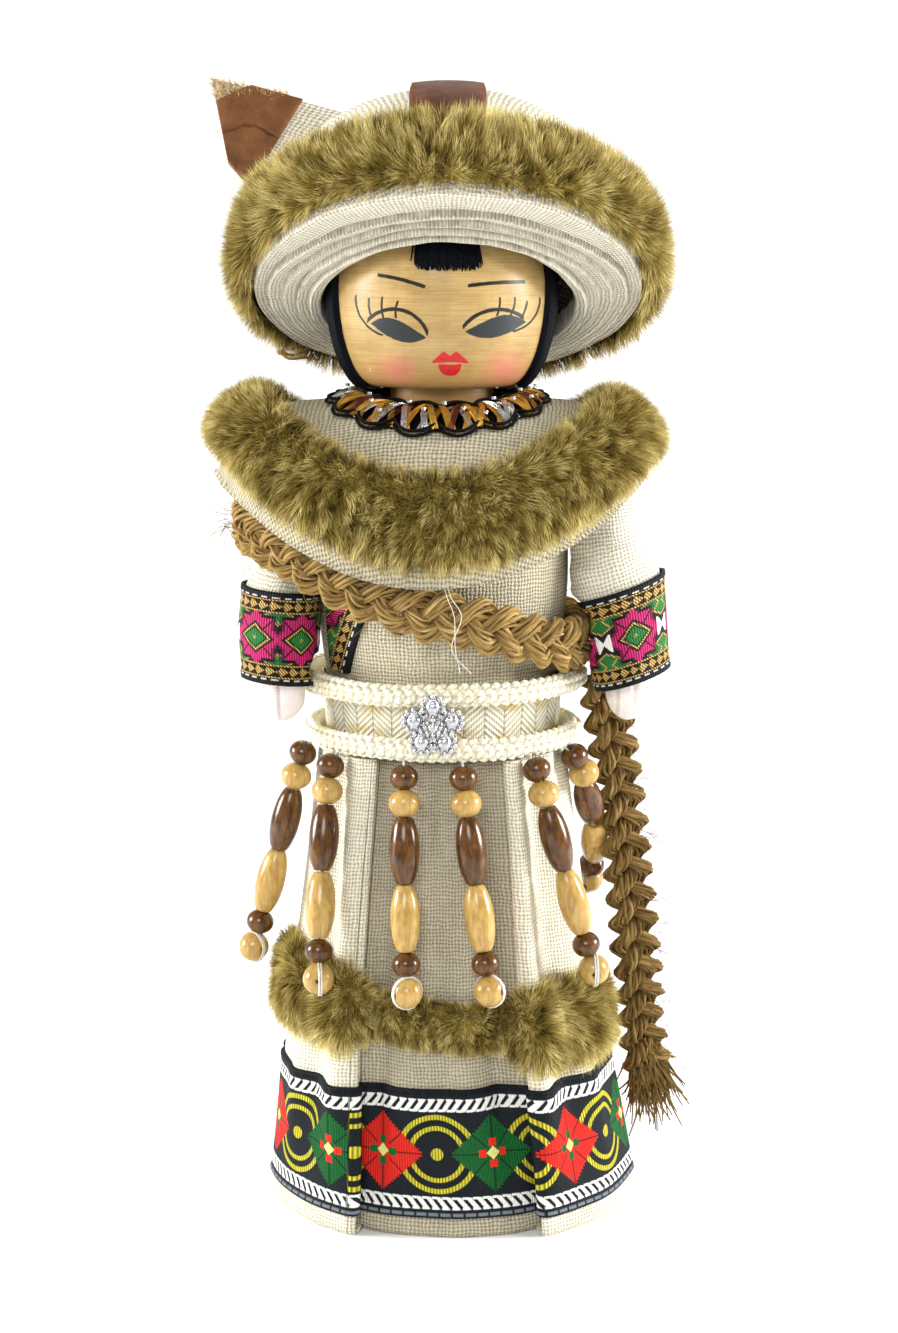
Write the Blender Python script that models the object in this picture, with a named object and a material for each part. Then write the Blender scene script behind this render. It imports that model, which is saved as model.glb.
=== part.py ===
"""Folk doll: a turned wooden head in a fur-trimmed linen hat, a padded linen body with a fur cape,
a jute sash, a belt with bead strings and a pleated skirt that stands on its own underside.

Metres, +Z up.  The doll faces -Y, its left in the photograph is -X.  The origin is the centre of the
skirt's flat underside.  Angles around the body start at the front and grow towards +X.
"""

import bpy
import bmesh
from math import asin, cos, hypot, pi, radians, sin, sqrt
from mathutils import Matrix, Vector

GAP = 0.0003              # air left between neighbouring pieces

# Skirt
SKIRT_HEIGHT = 0.0945
HEM_HALF_WIDTH = 0.0382
HEM_HALF_DEPTH = 0.0360
SKIRT_PUFF = 0.0026       # how far the gathers stand out under the belt
SKIRT_FLARE = 1.1         # 1 is a straight cone, more keeps the flare low
PLEAT_DEPTH = 0.0030      # step of the deepest pleat at the hem
PLEAT_AT_BELT = 0.25      # share of that step left where the skirt meets the belt
HEM_SHIFT = 0.0007        # the hem swings this far towards +X
SKIRT_STATIONS = 48
# Each sunk panel: its middle and half its span in degrees, and its share of the pleat depth
SUNK_PANELS = ((-2.0, 29.0, 1.0), (100.0, 19.0, 0.6), (-104.0, 19.0, 0.6), (178.0, 27.0, 0.8))
FOLD_SPAN = 8.0           # degrees over which a fold steps in

# Trims of the skirt
RIBBON_WIDTH = 0.0256
RIBBON_THICK = 0.0007
HEM_BELOW_RIBBON = 0.0042
SKIRT_FUR_ABOVE_RIBBON = 0.0062
SKIRT_FUR_WIDTH = 0.0175
SKIRT_FUR_SUNK_WIDTH = 0.0100
SKIRT_FUR_PILE = 0.0046

# Body
BODICE_HEIGHT = 0.0662
WAIST_HALF_WIDTH = 0.0225
WAIST_HALF_DEPTH = 0.0208
CHEST_HALF_WIDTH = 0.0253
CHEST_HALF_DEPTH = 0.0228
BODY_SHIFT = -0.0014      # the upper body stands this far towards -X
BODICE_STATIONS = 24

# Belt
TAPE_WIDTH = 0.0140
TAPE_THICK = 0.0008
BELT_CORD_RADIUS = 0.0021
BELT_CORD_SIDES = 5
FLOWER_RADIUS = 0.0058
FLOWER_THICK = 0.0020
FLOWER_SHIFT = -0.0017

# Head and hair
HEAD_RADIUS = 0.0216
CHIN_DROP = 0.0190        # centre of the head down to the flat chin
CHIN_RADIUS = 0.0138
NECK_RADIUS = 0.0103
NECK_LENGTH = 0.0052
HAIR_THICK = 0.0008
HAIR_PART = 68.0          # degrees from the front at which the hair begins
FRINGE_WIDTH = 0.0125
FRINGE_LENGTH = 0.0075

# Hat
HAT_TILT = 26.0           # degrees that the hat leans back
HAT_SHIFT = 0.0012
BRIM_HALF_WIDTH = 0.0383
BRIM_HALF_DEPTH = 0.0402
BRIM_FOLDS = 4
BRIM_STEP = 0.0011        # each fold lies this much lower than the one outside it
BRIM_THICK = 0.0018
CROWN_HEIGHT = 0.0395
CROWN_SQUARENESS = 2.4
HAT_FUR_HEIGHT = 0.0150
HAT_FUR_PILE = 0.0054
HAT_STATIONS = 26
STRIP_WIDTH = 0.0142
LEATHER_THICK = 0.0010
FLAP_THICK = 0.0022
FLAP_RISE = 0.0100
FLAP_REACH = 0.0240
FLAP_LEATHER_SHARE = 0.62

# Cape
CAPE_THICK = 0.0008
CAPE_SHIFT = -0.0034
CAPE_NECK_RADIUS = 0.0118
CAPE_HALF_WIDTH = 0.0425
CAPE_FRONT = 0.0325
CAPE_FRONT_DROP = 0.0312
CAPE_SIDE_DROP = 0.0122
CAPE_SHOULDER_EASE = 0.0040   # the cloth's slack past the shoulder before it falls
CAPE_SHOULDER_RISE = 0.0036   # the sides stand this much higher there than at the neck
CAPE_FUR_BAND = 0.0165
CAPE_FUR_PILE = 0.0060
CAPE_FUR_SIDE_PILE = 0.0088
CAPE_STATIONS = 28
NECK_TRIM_WIDTH = 0.0066
NECK_TRIM_THICK = 0.0028
NECK_TRIM_STATIONS = 20

# Arms
WRIST_DROP = 0.0520       # shoulder height down to the wrist
CUFF_HEIGHT = 0.0178
CUFF_THICK = 0.0005
HAND_LENGTH = 0.0085
PINCH_RUN = 0.0040        # length over which a sleeve is pressed in above the belt or the sash
SLEEVE_STATIONS = 12

# Sash
SASH_WIDTH = 0.0104
SASH_THICK = 0.0052
SASH_STATIONS = 38
SASH_HIP_RISE = 0.0069    # the sash's middle above the belt tape where it passes the right hip

# Bead strings, from the belt down
ROUND_BEAD = 0.0055       # diameter of the dark round beads
PALE_BEAD = 0.0061        # diameter of the pale round beads
OVAL_BEAD = 0.0058        # diameter of the oval beads
OVAL_LENGTH = 0.0132
THREAD_RADIUS = 0.0005
BEAD_SIDES = 6
# Each string: its angle at the belt and at its lower end, in degrees
STRINGS = ((-80.0, -82.0), (-51.0, -37.0), (-16.0, -11.0), (8.5, 16.0), (40.0, 53.0), (66.0, 138.0))

# Heights that follow from the sizes above
WAIST_Z = SKIRT_HEIGHT + GAP
SHOULDER_Z = WAIST_Z + BODICE_HEIGHT
CHIN_Z = SHOULDER_Z + GAP + NECK_LENGTH
HEAD_CENTRE = Vector((BODY_SHIFT, 0.0, CHIN_Z + CHIN_DROP))
TAPE_LOW = WAIST_Z + GAP
TAPE_TOP = TAPE_LOW + TAPE_WIDTH
RIBBON_LOW = HEM_BELOW_RIBBON
RIBBON_TOP = RIBBON_LOW + RIBBON_WIDTH


def clear_scene():
    for item in list(bpy.data.objects):
        bpy.data.objects.remove(item, do_unlink=True)


def material(name, colour, roughness=0.8, metallic=0.0):
    found = bpy.data.materials.get(name)
    if found:
        return found
    made = bpy.data.materials.new(name)
    made.use_nodes = True
    shader = made.node_tree.nodes["Principled BSDF"]
    shader.inputs["Base Color"].default_value = (*colour, 1.0)
    shader.inputs["Roughness"].default_value = roughness
    shader.inputs["Metallic"].default_value = metallic
    return made


def linen():
    return material("linen", (0.60, 0.53, 0.42))


def fur():
    return material("fur", (0.27, 0.22, 0.05), 0.9)


def jute():
    return material("jute", (0.40, 0.26, 0.12), 0.85)


def woven_ribbon():
    return material("woven_ribbon", (0.05, 0.06, 0.06), 0.6)


def cream_cotton():
    return material("cream_cotton", (0.80, 0.77, 0.65), 0.85)


def turned_wood():
    return material("turned_wood", (0.75, 0.52, 0.26), 0.35)


def bead_wood():
    return material("bead_wood", (0.34, 0.16, 0.05), 0.3)


def black_hair():
    return material("black_hair", (0.01, 0.01, 0.012), 0.4)


def brown_leather():
    return material("brown_leather", (0.24, 0.08, 0.03), 0.5)


def pink_satin():
    return material("pink_satin", (0.82, 0.76, 0.74), 0.4)


def silver_cast():
    return material("silver_cast", (0.65, 0.65, 0.66), 0.25, 1.0)


def gold_trim():
    return material("gold_trim", (0.35, 0.22, 0.05), 0.4, 0.6)


def smoothstep(value):
    value = min(1.0, max(0.0, value))
    return value * value * (3.0 - 2.0 * value)


def blend(low, high, share):
    return low + (high - low) * share


def turn_list(count):
    return [2.0 * pi * index / count for index in range(count)]


def around(centre_x, half_width, half_depth, angle, z):
    """A point on an ellipse around the body at height z."""
    return Vector((centre_x + half_width * sin(angle), -half_depth * cos(angle), z))


def finish_object(name, mesh_data, surface, smooth=True):
    mesh = bpy.data.meshes.new(name)
    mesh_data.normal_update()
    bmesh.ops.recalc_face_normals(mesh_data, faces=mesh_data.faces)
    mesh_data.to_mesh(mesh)
    mesh_data.free()
    if smooth:
        mesh.shade_smooth()
        mesh.set_sharp_from_angle(angle=radians(50.0))
    mesh.materials.append(surface)
    made = bpy.data.objects.new(name, mesh)
    bpy.context.scene.collection.objects.link(made)
    return made


def skin(name, sections, surface, closed, smooth=True):
    """Join cross-sections of equal point counts; a closed one is a ring, an open one gets end caps."""
    data = bmesh.new()
    rows = [[data.verts.new(point) for point in section] for section in sections]
    count = len(rows[0])
    pairs = list(zip(rows, rows[1:]))
    if closed:
        pairs.append((rows[-1], rows[0]))
    for lower, upper in pairs:
        for index in range(count):
            following = (index + 1) % count
            data.faces.new((lower[index], lower[following], upper[following], upper[index]))
    if not closed:
        data.faces.new(rows[0][::-1])
        data.faces.new(rows[-1])
    return finish_object(name, data, surface, smooth)


# Skirt surface, shared by the skirt, its trims and the bead strings

def sunk_share(angle):
    """1 where a panel is sunk between two folds, 0 on the panels that stand out."""
    degrees_here = angle * 180.0 / pi
    share = 0.0
    for middle, half_span, depth in SUNK_PANELS:
        away = abs((degrees_here - middle + 180.0) % 360.0 - 180.0)
        share = max(share, depth * smoothstep((half_span + FOLD_SPAN / 2.0 - away) / FOLD_SPAN))
    return share


def skirt_point(angle, z, offset=0.0):
    """A point of the skirt's cloth, moved out by offset."""
    down = 1.0 - z / SKIRT_HEIGHT
    flare = max(0.0, down) ** SKIRT_FLARE
    top_half_width = WAIST_HALF_WIDTH + SKIRT_PUFF
    top_half_depth = WAIST_HALF_DEPTH + SKIRT_PUFF
    step = PLEAT_DEPTH * sunk_share(angle) * blend(PLEAT_AT_BELT, 1.0, down)
    half_width = blend(top_half_width, HEM_HALF_WIDTH, flare) - step + offset
    half_depth = blend(top_half_depth, HEM_HALF_DEPTH, flare) - step + offset
    centre_x = blend(BODY_SHIFT, HEM_SHIFT, smoothstep((down - 0.5) * 2.0))
    return around(centre_x, half_width, half_depth, angle, z)


def skirt_fur_range(angle):
    """Lower and upper edge of the fur band at this angle; it narrows between the folds."""
    sunk = sunk_share(angle)
    width = blend(SKIRT_FUR_WIDTH, SKIRT_FUR_SUNK_WIDTH, sunk)
    middle = RIBBON_TOP + SKIRT_FUR_ABOVE_RIBBON + SKIRT_FUR_WIDTH / 2.0
    middle -= SKIRT_FUR_WIDTH * 0.12 * sin(angle)
    return middle - width / 2.0, middle + width / 2.0


def skirt_fur_pile(angle):
    return SKIRT_FUR_PILE * (1.0 - 0.35 * sunk_share(angle))


def make_skirt():
    angles = turn_list(SKIRT_STATIONS)
    sections = []
    for height in (0.0, RIBBON_LOW, RIBBON_TOP):
        sections.append([skirt_point(angle, height) for angle in angles])
    for edge in (0, 1):
        sections.append([skirt_point(angle, skirt_fur_range(angle)[edge]) for angle in angles])
    fur_top = max(skirt_fur_range(angle)[1] for angle in angles)
    for share in (0.35, 0.7, 1.0):
        height = blend(fur_top, SKIRT_HEIGHT, share)
        sections.append([skirt_point(angle, height) for angle in angles])
    skin("skirt", sections, linen(), closed=False)


def make_skirt_ribbon():
    sections = []
    outside = GAP + RIBBON_THICK
    for angle in turn_list(SKIRT_STATIONS):
        sections.append([
            skirt_point(angle, RIBBON_LOW, GAP),
            skirt_point(angle, RIBBON_TOP, GAP),
            skirt_point(angle, RIBBON_TOP, outside),
            skirt_point(angle, RIBBON_LOW, outside),
        ])
    skin("skirt_ribbon", sections, woven_ribbon(), closed=True)


def make_skirt_fur():
    sections = []
    for angle in turn_list(SKIRT_STATIONS):
        low, high = skirt_fur_range(angle)
        pile = skirt_fur_pile(angle)
        width = high - low
        sections.append([
            skirt_point(angle, low, GAP),
            skirt_point(angle, high, GAP),
            skirt_point(angle, high - width * 0.02, pile * 0.55),
            skirt_point(angle, blend(low, high, 0.55), pile),
            skirt_point(angle, low + width * 0.02, pile * 0.75),
        ])
    skin("skirt_fur", sections, fur(), closed=True)


# Bodice surface, shared by the bodice, the belt, the side ribbon, the sleeves and the sash

def bodice_halves(z):
    """Half width and half depth of the stuffed body at height z."""
    rise = min(1.0, max(0.0, (z - WAIST_Z) / BODICE_HEIGHT))
    fill = smoothstep(rise / 0.5)
    half_width = blend(WAIST_HALF_WIDTH, CHEST_HALF_WIDTH, fill)
    half_depth = blend(WAIST_HALF_DEPTH, CHEST_HALF_DEPTH, fill)
    shoulder = sqrt(max(0.0, 1.0 - max(0.0, (rise - 0.66) / 0.34) ** 2.6))
    top = NECK_RADIUS + 2.0 * GAP
    return blend(top, half_width, shoulder), blend(top, half_depth, shoulder)


def bodice_point(angle, z, offset=0.0):
    half_width, half_depth = bodice_halves(z)
    return around(BODY_SHIFT, half_width + offset, half_depth + offset, angle, z)


def make_bodice():
    heights = [WAIST_Z, TAPE_LOW, TAPE_TOP]
    heights += [blend(TAPE_TOP, SHOULDER_Z, share) for share in (0.25, 0.5, 0.66, 0.78, 0.88, 0.95, 1.0)]
    angles = turn_list(BODICE_STATIONS)
    skin("bodice", [[bodice_point(angle, z) for angle in angles] for z in heights], linen(), closed=False)


def make_belt_tape():
    sections = []
    outside = GAP + TAPE_THICK
    for angle in turn_list(BODICE_STATIONS):
        sections.append([
            bodice_point(angle, TAPE_LOW, GAP),
            bodice_point(angle, TAPE_TOP, GAP),
            bodice_point(angle, TAPE_TOP, outside),
            bodice_point(angle, TAPE_LOW, outside),
        ])
    skin("belt_tape", sections, cream_cotton(), closed=True)


def belt_cord_heights():
    return TAPE_LOW + BELT_CORD_RADIUS, TAPE_TOP - BELT_CORD_RADIUS * 0.4


def belt_cord_point(angle, z, out=0.0, up=0.0):
    """A point of the cord whose middle is at height z, out and up from that middle."""
    offset = 2.0 * GAP + TAPE_THICK + BELT_CORD_RADIUS
    point = bodice_point(angle, z + BELT_CORD_RADIUS, offset + out)
    point.z = z + up
    return point


def make_belt_cord(name, z):
    sections = []
    for angle in turn_list(BODICE_STATIONS):
        rolls = turn_list(BELT_CORD_SIDES)
        sections.append([belt_cord_point(angle, z, BELT_CORD_RADIUS * cos(roll), BELT_CORD_RADIUS * sin(roll))
                         for roll in rolls])
    skin(name, sections, cream_cotton(), closed=True)


def make_belt_cords():
    low, high = belt_cord_heights()
    make_belt_cord("belt_cord_bottom", low)
    make_belt_cord("belt_cord_top", high)


def make_belt_flower():
    """Five round petals cut from one plate, in front of the two cords."""
    low, high = belt_cord_heights()
    front = belt_cord_point(0.0, high, BELT_CORD_RADIUS + GAP).y
    petal_count = 5
    outline = []
    for turn in turn_list(petal_count * 4):
        radius = FLOWER_RADIUS * (0.86 + 0.14 * cos(petal_count * turn))
        outline.append((radius * sin(turn), radius * cos(turn)))
    middle_x = BODY_SHIFT + FLOWER_SHIFT
    middle_z = (low + high) / 2.0
    sections = []
    for y in (front, front - FLOWER_THICK):
        sections.append([Vector((middle_x + x, y, middle_z + z)) for x, z in outline])
    skin("belt_flower", sections, silver_cast(), closed=False, smooth=False)


def make_side_ribbon():
    """The ribbon along the robe's slanting edge, from under the sash down to the belt."""
    low = belt_cord_heights()[1] + BELT_CORD_RADIUS + GAP
    high = blend(TAPE_TOP, SHOULDER_Z, 0.30)
    sections = []
    for share in (0.0, 0.5, 1.0):
        z = blend(low, high, share)
        left_edge = radians(blend(-64.0, -62.0, share))
        right_edge = radians(blend(-49.0, -33.0, share))
        lean = [blend(left_edge, right_edge, part) for part in (0.0, 0.25, 0.5, 0.75, 1.0)]
        inner = [bodice_point(angle, z, 2.0 * GAP) for angle in lean]
        outer = [bodice_point(angle, z, 2.0 * GAP + RIBBON_THICK) for angle in reversed(lean)]
        sections.append(inner + outer)
    skin("side_ribbon", sections, woven_ribbon(), closed=False)


# Head and hair

def head_radius(z):
    """Radius of the turned head at height z, from the flat chin to the crown."""
    rise = z - HEAD_CENTRE.z
    if rise >= 0.0:
        return sqrt(max(0.0, HEAD_RADIUS ** 2 - rise ** 2))
    share = min(1.0, -rise / CHIN_DROP)
    return CHIN_RADIUS + (HEAD_RADIUS - CHIN_RADIUS) * sqrt(1.0 - share ** 2)


def head_point(angle, z, offset=0.0):
    """A point on the head moved outward along its radius from the head's centre."""
    point = Vector((head_radius(z) * sin(angle), -head_radius(z) * cos(angle), z - HEAD_CENTRE.z))
    return HEAD_CENTRE + point * (1.0 + offset / point.length)


def head_heights(lifts):
    """Heights up the head: five below its widest place, then one for each lift in degrees."""
    below = [CHIN_Z + CHIN_DROP * share for share in (0.05, 0.16, 0.35, 0.65, 1.0)]
    return below + [HEAD_CENTRE.z + HEAD_RADIUS * sin(radians(lift)) for lift in lifts]


def make_head():
    heights = [CHIN_Z] + head_heights((18.0, 34.0, 56.0, 76.0))
    angles = turn_list(20)
    neck_base = SHOULDER_Z + GAP
    sections = []
    for z in (neck_base, CHIN_Z):
        sections.append([around(BODY_SHIFT, NECK_RADIUS, NECK_RADIUS, angle, z) for angle in angles])
    sections += [[head_point(angle, z) for angle in angles] for z in heights]
    skin("head", sections, turned_wood(), closed=False)


def make_hair():
    """Black hair over the sides and the back of the head, down to the chin."""
    heights = head_heights((18.0, 34.0))
    part = radians(HAIR_PART)
    angles = [blend(part, 2.0 * pi - part, index / 12.0) for index in range(13)]
    sections = []
    for angle in angles:
        inner = [head_point(angle, z, 2.0 * GAP) for z in heights]
        outer = [head_point(angle, z, 2.0 * GAP + HAIR_THICK) for z in reversed(heights)]
        sections.append(inner + outer)
    skin("hair", sections, black_hair(), closed=False)


def make_fringe():
    """The short black fringe that comes out from under the hat."""
    top = HEAD_CENTRE.z + HEAD_RADIUS * 0.52
    half = FRINGE_WIDTH / 2.0 / HEAD_RADIUS
    sections = []
    for share in (-1.0, -0.5, 0.0, 0.5, 1.0):
        heights = [top - FRINGE_LENGTH * part for part in (1.0, 0.5, 0.0)]
        inner = [head_point(half * share, z, 2.0 * GAP) for z in heights]
        outer = [head_point(half * share, z, 3.0 * GAP) for z in reversed(heights)]
        sections.append(inner + outer)
    skin("fringe", sections, black_hair(), closed=False)


# Hat, built around the head's centre and leaned back

def hat_frame():
    """From the hat's own axes to the world: +Z along its crown, leaned back about the head's centre."""
    lean = Matrix.Rotation(radians(-HAT_TILT), 4, "X")
    return Matrix.Translation(HEAD_CENTRE + Vector((HAT_SHIFT, 0.0, 0.0))) @ lean


def hat_hole():
    """Radius and backward shift of the hole that fits the forehead in front and the hair behind."""
    lowest = HEAD_CENTRE.z - CHIN_DROP * 0.66
    back = hypot(head_radius(lowest), HEAD_CENTRE.z - lowest) + HAIR_THICK + 3.0 * GAP
    front = HEAD_RADIUS + 4.0 * GAP
    return (back + front) / 2.0 + abs(HAT_SHIFT), (back - front) / 2.0


def crown_radius_share(rise):
    """Share of the crown's base radius left at this share of its height."""
    return max(0.0, 1.0 - rise ** CROWN_SQUARENESS) ** (1.0 / CROWN_SQUARENESS)


def brim_underside():
    """Stepped profile of the brim from its outer edge in: (share of the way in, height) pairs."""
    pairs = []
    for fold in range(BRIM_FOLDS):
        pairs.append((fold / BRIM_FOLDS, -BRIM_THICK - BRIM_STEP * fold + BRIM_STEP))
        pairs.append(((fold + 0.75) / BRIM_FOLDS, -BRIM_THICK - BRIM_STEP * (fold + 0.15) + BRIM_STEP))
    return pairs


def hat_point(angle, share_in, height):
    """A point of the hat between its outer edge (0) and its head hole (1)."""
    hole_radius, hole_back = hat_hole()
    half_width = blend(BRIM_HALF_WIDTH, hole_radius, share_in)
    half_depth = blend(BRIM_HALF_DEPTH, hole_radius, share_in)
    point = around(0.0, half_width, half_depth, angle, height)
    point.y += hole_back * share_in
    return point


def crown_point(angle, height, offset=0.0):
    """A point of the crown's outer linen in the hat's own axes."""
    share = crown_radius_share(max(0.0, height - GAP) / CROWN_HEIGHT)
    return around(0.0, BRIM_HALF_WIDTH * share + offset, BRIM_HALF_DEPTH * share + offset, angle, height)


def make_hat_brim():
    frame = hat_frame()
    sections = []
    for angle in turn_list(HAT_STATIONS):
        section = [hat_point(angle, share, height) for share, height in brim_underside()]
        section.append(hat_point(angle, 1.0, brim_underside()[-1][1]))
        section.append(hat_point(angle, 1.0, 0.0))
        section.append(hat_point(angle, 0.0, 0.0))
        sections.append([frame @ point for point in section])
    skin("hat_brim", sections, linen(), closed=True)


def make_hat_crown():
    """A padded linen dome, open below where the head goes in."""
    frame = hat_frame()
    hole_radius, hole_back = hat_hole()
    outer_heights = [GAP + CROWN_HEIGHT * share for share in (0.0, 0.16, 0.38, 0.6, 0.78, 0.9, 0.97)]
    angles = turn_list(HAT_STATIONS)
    sections = []
    for lift in (80.0, 62.0, 40.0, 20.0, 0.0):
        radius = hole_radius * cos(radians(lift))
        height = GAP + hole_radius * sin(radians(lift))
        ring = [around(0.0, radius, radius, angle, height) for angle in angles]
        sections.append([frame @ (point + Vector((0.0, hole_back, 0.0))) for point in ring])
    for height in outer_heights:
        sections.append([frame @ crown_point(angle, height) for angle in angles])
    skin("hat_crown", sections, linen(), closed=False)


def make_hat_fur():
    """The fur band around the side of the hat."""
    frame = hat_frame()
    sections = []
    high = HAT_FUR_HEIGHT
    for angle in turn_list(HAT_STATIONS):
        section = [
            crown_point(angle, -BRIM_THICK * 0.5, GAP),
            crown_point(angle, high * 0.42, 1.5 * GAP),
            crown_point(angle, high, 1.5 * GAP),
            crown_point(angle, high * 1.02, HAT_FUR_PILE * 0.6),
            crown_point(angle, high * 0.7, HAT_FUR_PILE),
            crown_point(angle, high * 0.2, HAT_FUR_PILE),
            crown_point(angle, -BRIM_THICK * 0.5, HAT_FUR_PILE * 0.6),
        ]
        sections.append([frame @ point for point in section])
    skin("hat_fur", sections, fur(), closed=True)


def make_hat_strip():
    """The leather strip that comes over the front of the crown down to the fur."""
    frame = hat_frame()
    half = STRIP_WIDTH / 2.0
    low = HAT_FUR_HEIGHT * 1.02 + 2.0 * GAP
    sections = []
    for share in (0.0, 0.3, 0.55, 0.75, 0.9, 1.0):
        height = blend(low, GAP + CROWN_HEIGHT * 0.95, share)
        reach = BRIM_HALF_WIDTH * crown_radius_share((height - GAP) / CROWN_HEIGHT)
        parts = [asin(half * part / reach) for part in (-1.0, -0.33, 0.33, 1.0)]
        inner = [crown_point(part, height, 3.0 * GAP) for part in parts]
        outer = [crown_point(part, height, 3.0 * GAP + LEATHER_THICK) for part in reversed(parts)]
        lift = Vector((0.0, 0.0, LEATHER_THICK * share))
        sections.append([frame @ point for point in inner + [point + lift for point in outer]])
    skin("hat_strip", sections, brown_leather(), closed=False)


def flap_outline():
    """Inner and outer edge of the flap in the hat's own x and height, from its foot to its top."""
    foot = HAT_FUR_HEIGHT * 1.12
    top = GAP + CROWN_HEIGHT * 0.90
    inner = []
    for share in (0.0, 0.25, 0.5, 0.75, 1.0):
        height = blend(foot, top, share)
        reach = BRIM_HALF_WIDTH * crown_radius_share((height - GAP) / CROWN_HEIGHT)
        inner.append(Vector((-reach - 3.0 * GAP, 0.0, height + 2.0 * GAP)))
    tip = Vector((inner[-1].x - FLAP_REACH, 0.0, top + FLAP_RISE))
    heel = Vector((inner[0].x - FLAP_REACH * 0.22, 0.0, foot + FLAP_RISE * 0.95))
    outer = [heel.lerp(tip, share) for share in (0.0, 0.25, 0.5, 0.75, 1.0)]
    return inner, outer


def flap_plate(inner, outer, y_front, y_back, frame):
    sections = []
    for near, far in zip(inner, outer):
        corners = [(near, y_front), (far, y_front), (far, y_back), (near, y_back)]
        sections.append([frame @ Vector((point.x, y, point.z)) for point, y in corners])
    return sections


def make_hat_flap():
    """The linen flap that stands out from the side of the crown, faced with leather at its end."""
    frame = hat_frame()
    inner, outer = flap_outline()
    half = FLAP_THICK / 2.0
    skin("hat_flap", flap_plate(inner, outer, -half, half, frame), linen(), closed=False, smooth=False)
    start = 1.0 - FLAP_LEATHER_SHARE
    leather_inner = [near.lerp(far, start) for near, far in zip(inner, outer)]
    face = -half - GAP
    plate = flap_plate(leather_inner, outer, face - LEATHER_THICK, face, frame)
    skin("hat_flap_leather", plate, brown_leather(), closed=False, smooth=False)


# Cape, its fur and the neck trim

def cape_curve(angle, share):
    """A point on the cape's upper face: 0 at the neck, 1 at the edge."""
    side = sin(angle) ** 2
    neck_z = SHOULDER_Z + NECK_LENGTH * 0.30
    shoulder_x = CHEST_HALF_WIDTH + CAPE_SHOULDER_EASE
    out = (sin(angle), -cos(angle))
    stages = (
        (CAPE_NECK_RADIUS, CAPE_NECK_RADIUS, neck_z),
        (shoulder_x, CAPE_FRONT * 0.76, neck_z + CAPE_SHOULDER_RISE * side),
        (CAPE_HALF_WIDTH * 0.96, CAPE_FRONT * 0.97,
         neck_z - blend(CAPE_FRONT_DROP * 0.50, CAPE_SIDE_DROP * 0.16, side)),
        (CAPE_HALF_WIDTH, CAPE_FRONT, neck_z - blend(CAPE_FRONT_DROP, CAPE_SIDE_DROP, side)),
    )
    left = 1.0 - share
    weights = (left ** 3, 3.0 * share * left ** 2, 3.0 * share ** 2 * left, share ** 3)
    x = sum(weight * stage[0] for weight, stage in zip(weights, stages)) * out[0]
    y = sum(weight * stage[1] for weight, stage in zip(weights, stages)) * out[1]
    z = sum(weight * stage[2] for weight, stage in zip(weights, stages))
    swing = smoothstep(share / 0.6)
    return Vector((blend(BODY_SHIFT, CAPE_SHIFT, swing) + x, y, z))


def cape_normal(angle, share):
    step = 0.004
    low = max(0.0, share - step)
    high = min(1.0, share + step)
    outward = cape_curve(angle, high) - cape_curve(angle, low)
    sideways = cape_curve(angle + step, share) - cape_curve(angle - step, share)
    return outward.cross(sideways).normalized()


def cape_point(angle, share, offset=0.0):
    return cape_curve(angle, share) + cape_normal(angle, share) * offset


def cape_run(angle):
    """Length of the cape from the neck to its edge at this angle."""
    points = [cape_curve(angle, index / 12.0) for index in range(13)]
    return sum((far - near).length for near, far in zip(points, points[1:]))


def make_cape():
    shares = (0.0, 0.16, 0.36, 0.58, 0.8, 0.98)
    sections = []
    for angle in turn_list(CAPE_STATIONS):
        upper = [cape_point(angle, share) for share in shares]
        lower = [cape_point(angle, share, -CAPE_THICK) for share in reversed(shares)]
        sections.append(upper + lower)
    skin("cape", sections, linen(), closed=True)


def raised_band(name, surface, middle_share, band_width, front_height, side_height, stations):
    """A rounded band that lies on the cape all the way round."""
    sections = []
    for angle in turn_list(stations):
        half = band_width / 2.0 / cape_run(angle)
        height = blend(front_height, side_height, sin(angle) ** 2)
        section = []
        for place in (-0.92, -0.35, 0.35, 0.92):
            lift = height * sqrt(1.0 - place ** 2) + GAP
            section.append(cape_point(angle, middle_share + half * place, lift))
        for place in (0.92, 0.0, -0.92):
            section.append(cape_point(angle, middle_share + half * place, 2.0 * GAP))
        sections.append(section)
    skin(name, sections, surface, closed=True)


def make_cape_trims():
    run = cape_run(0.0)
    fur_middle = 0.97 - CAPE_FUR_BAND / 2.0 / run
    raised_band("cape_fur", fur(), fur_middle, CAPE_FUR_BAND, CAPE_FUR_PILE, CAPE_FUR_SIDE_PILE,
                CAPE_STATIONS)
    trim_middle = NECK_TRIM_WIDTH * 0.62 / run
    raised_band("neck_trim", gold_trim(), trim_middle, NECK_TRIM_WIDTH, NECK_TRIM_THICK, NECK_TRIM_THICK,
                NECK_TRIM_STATIONS)


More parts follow.
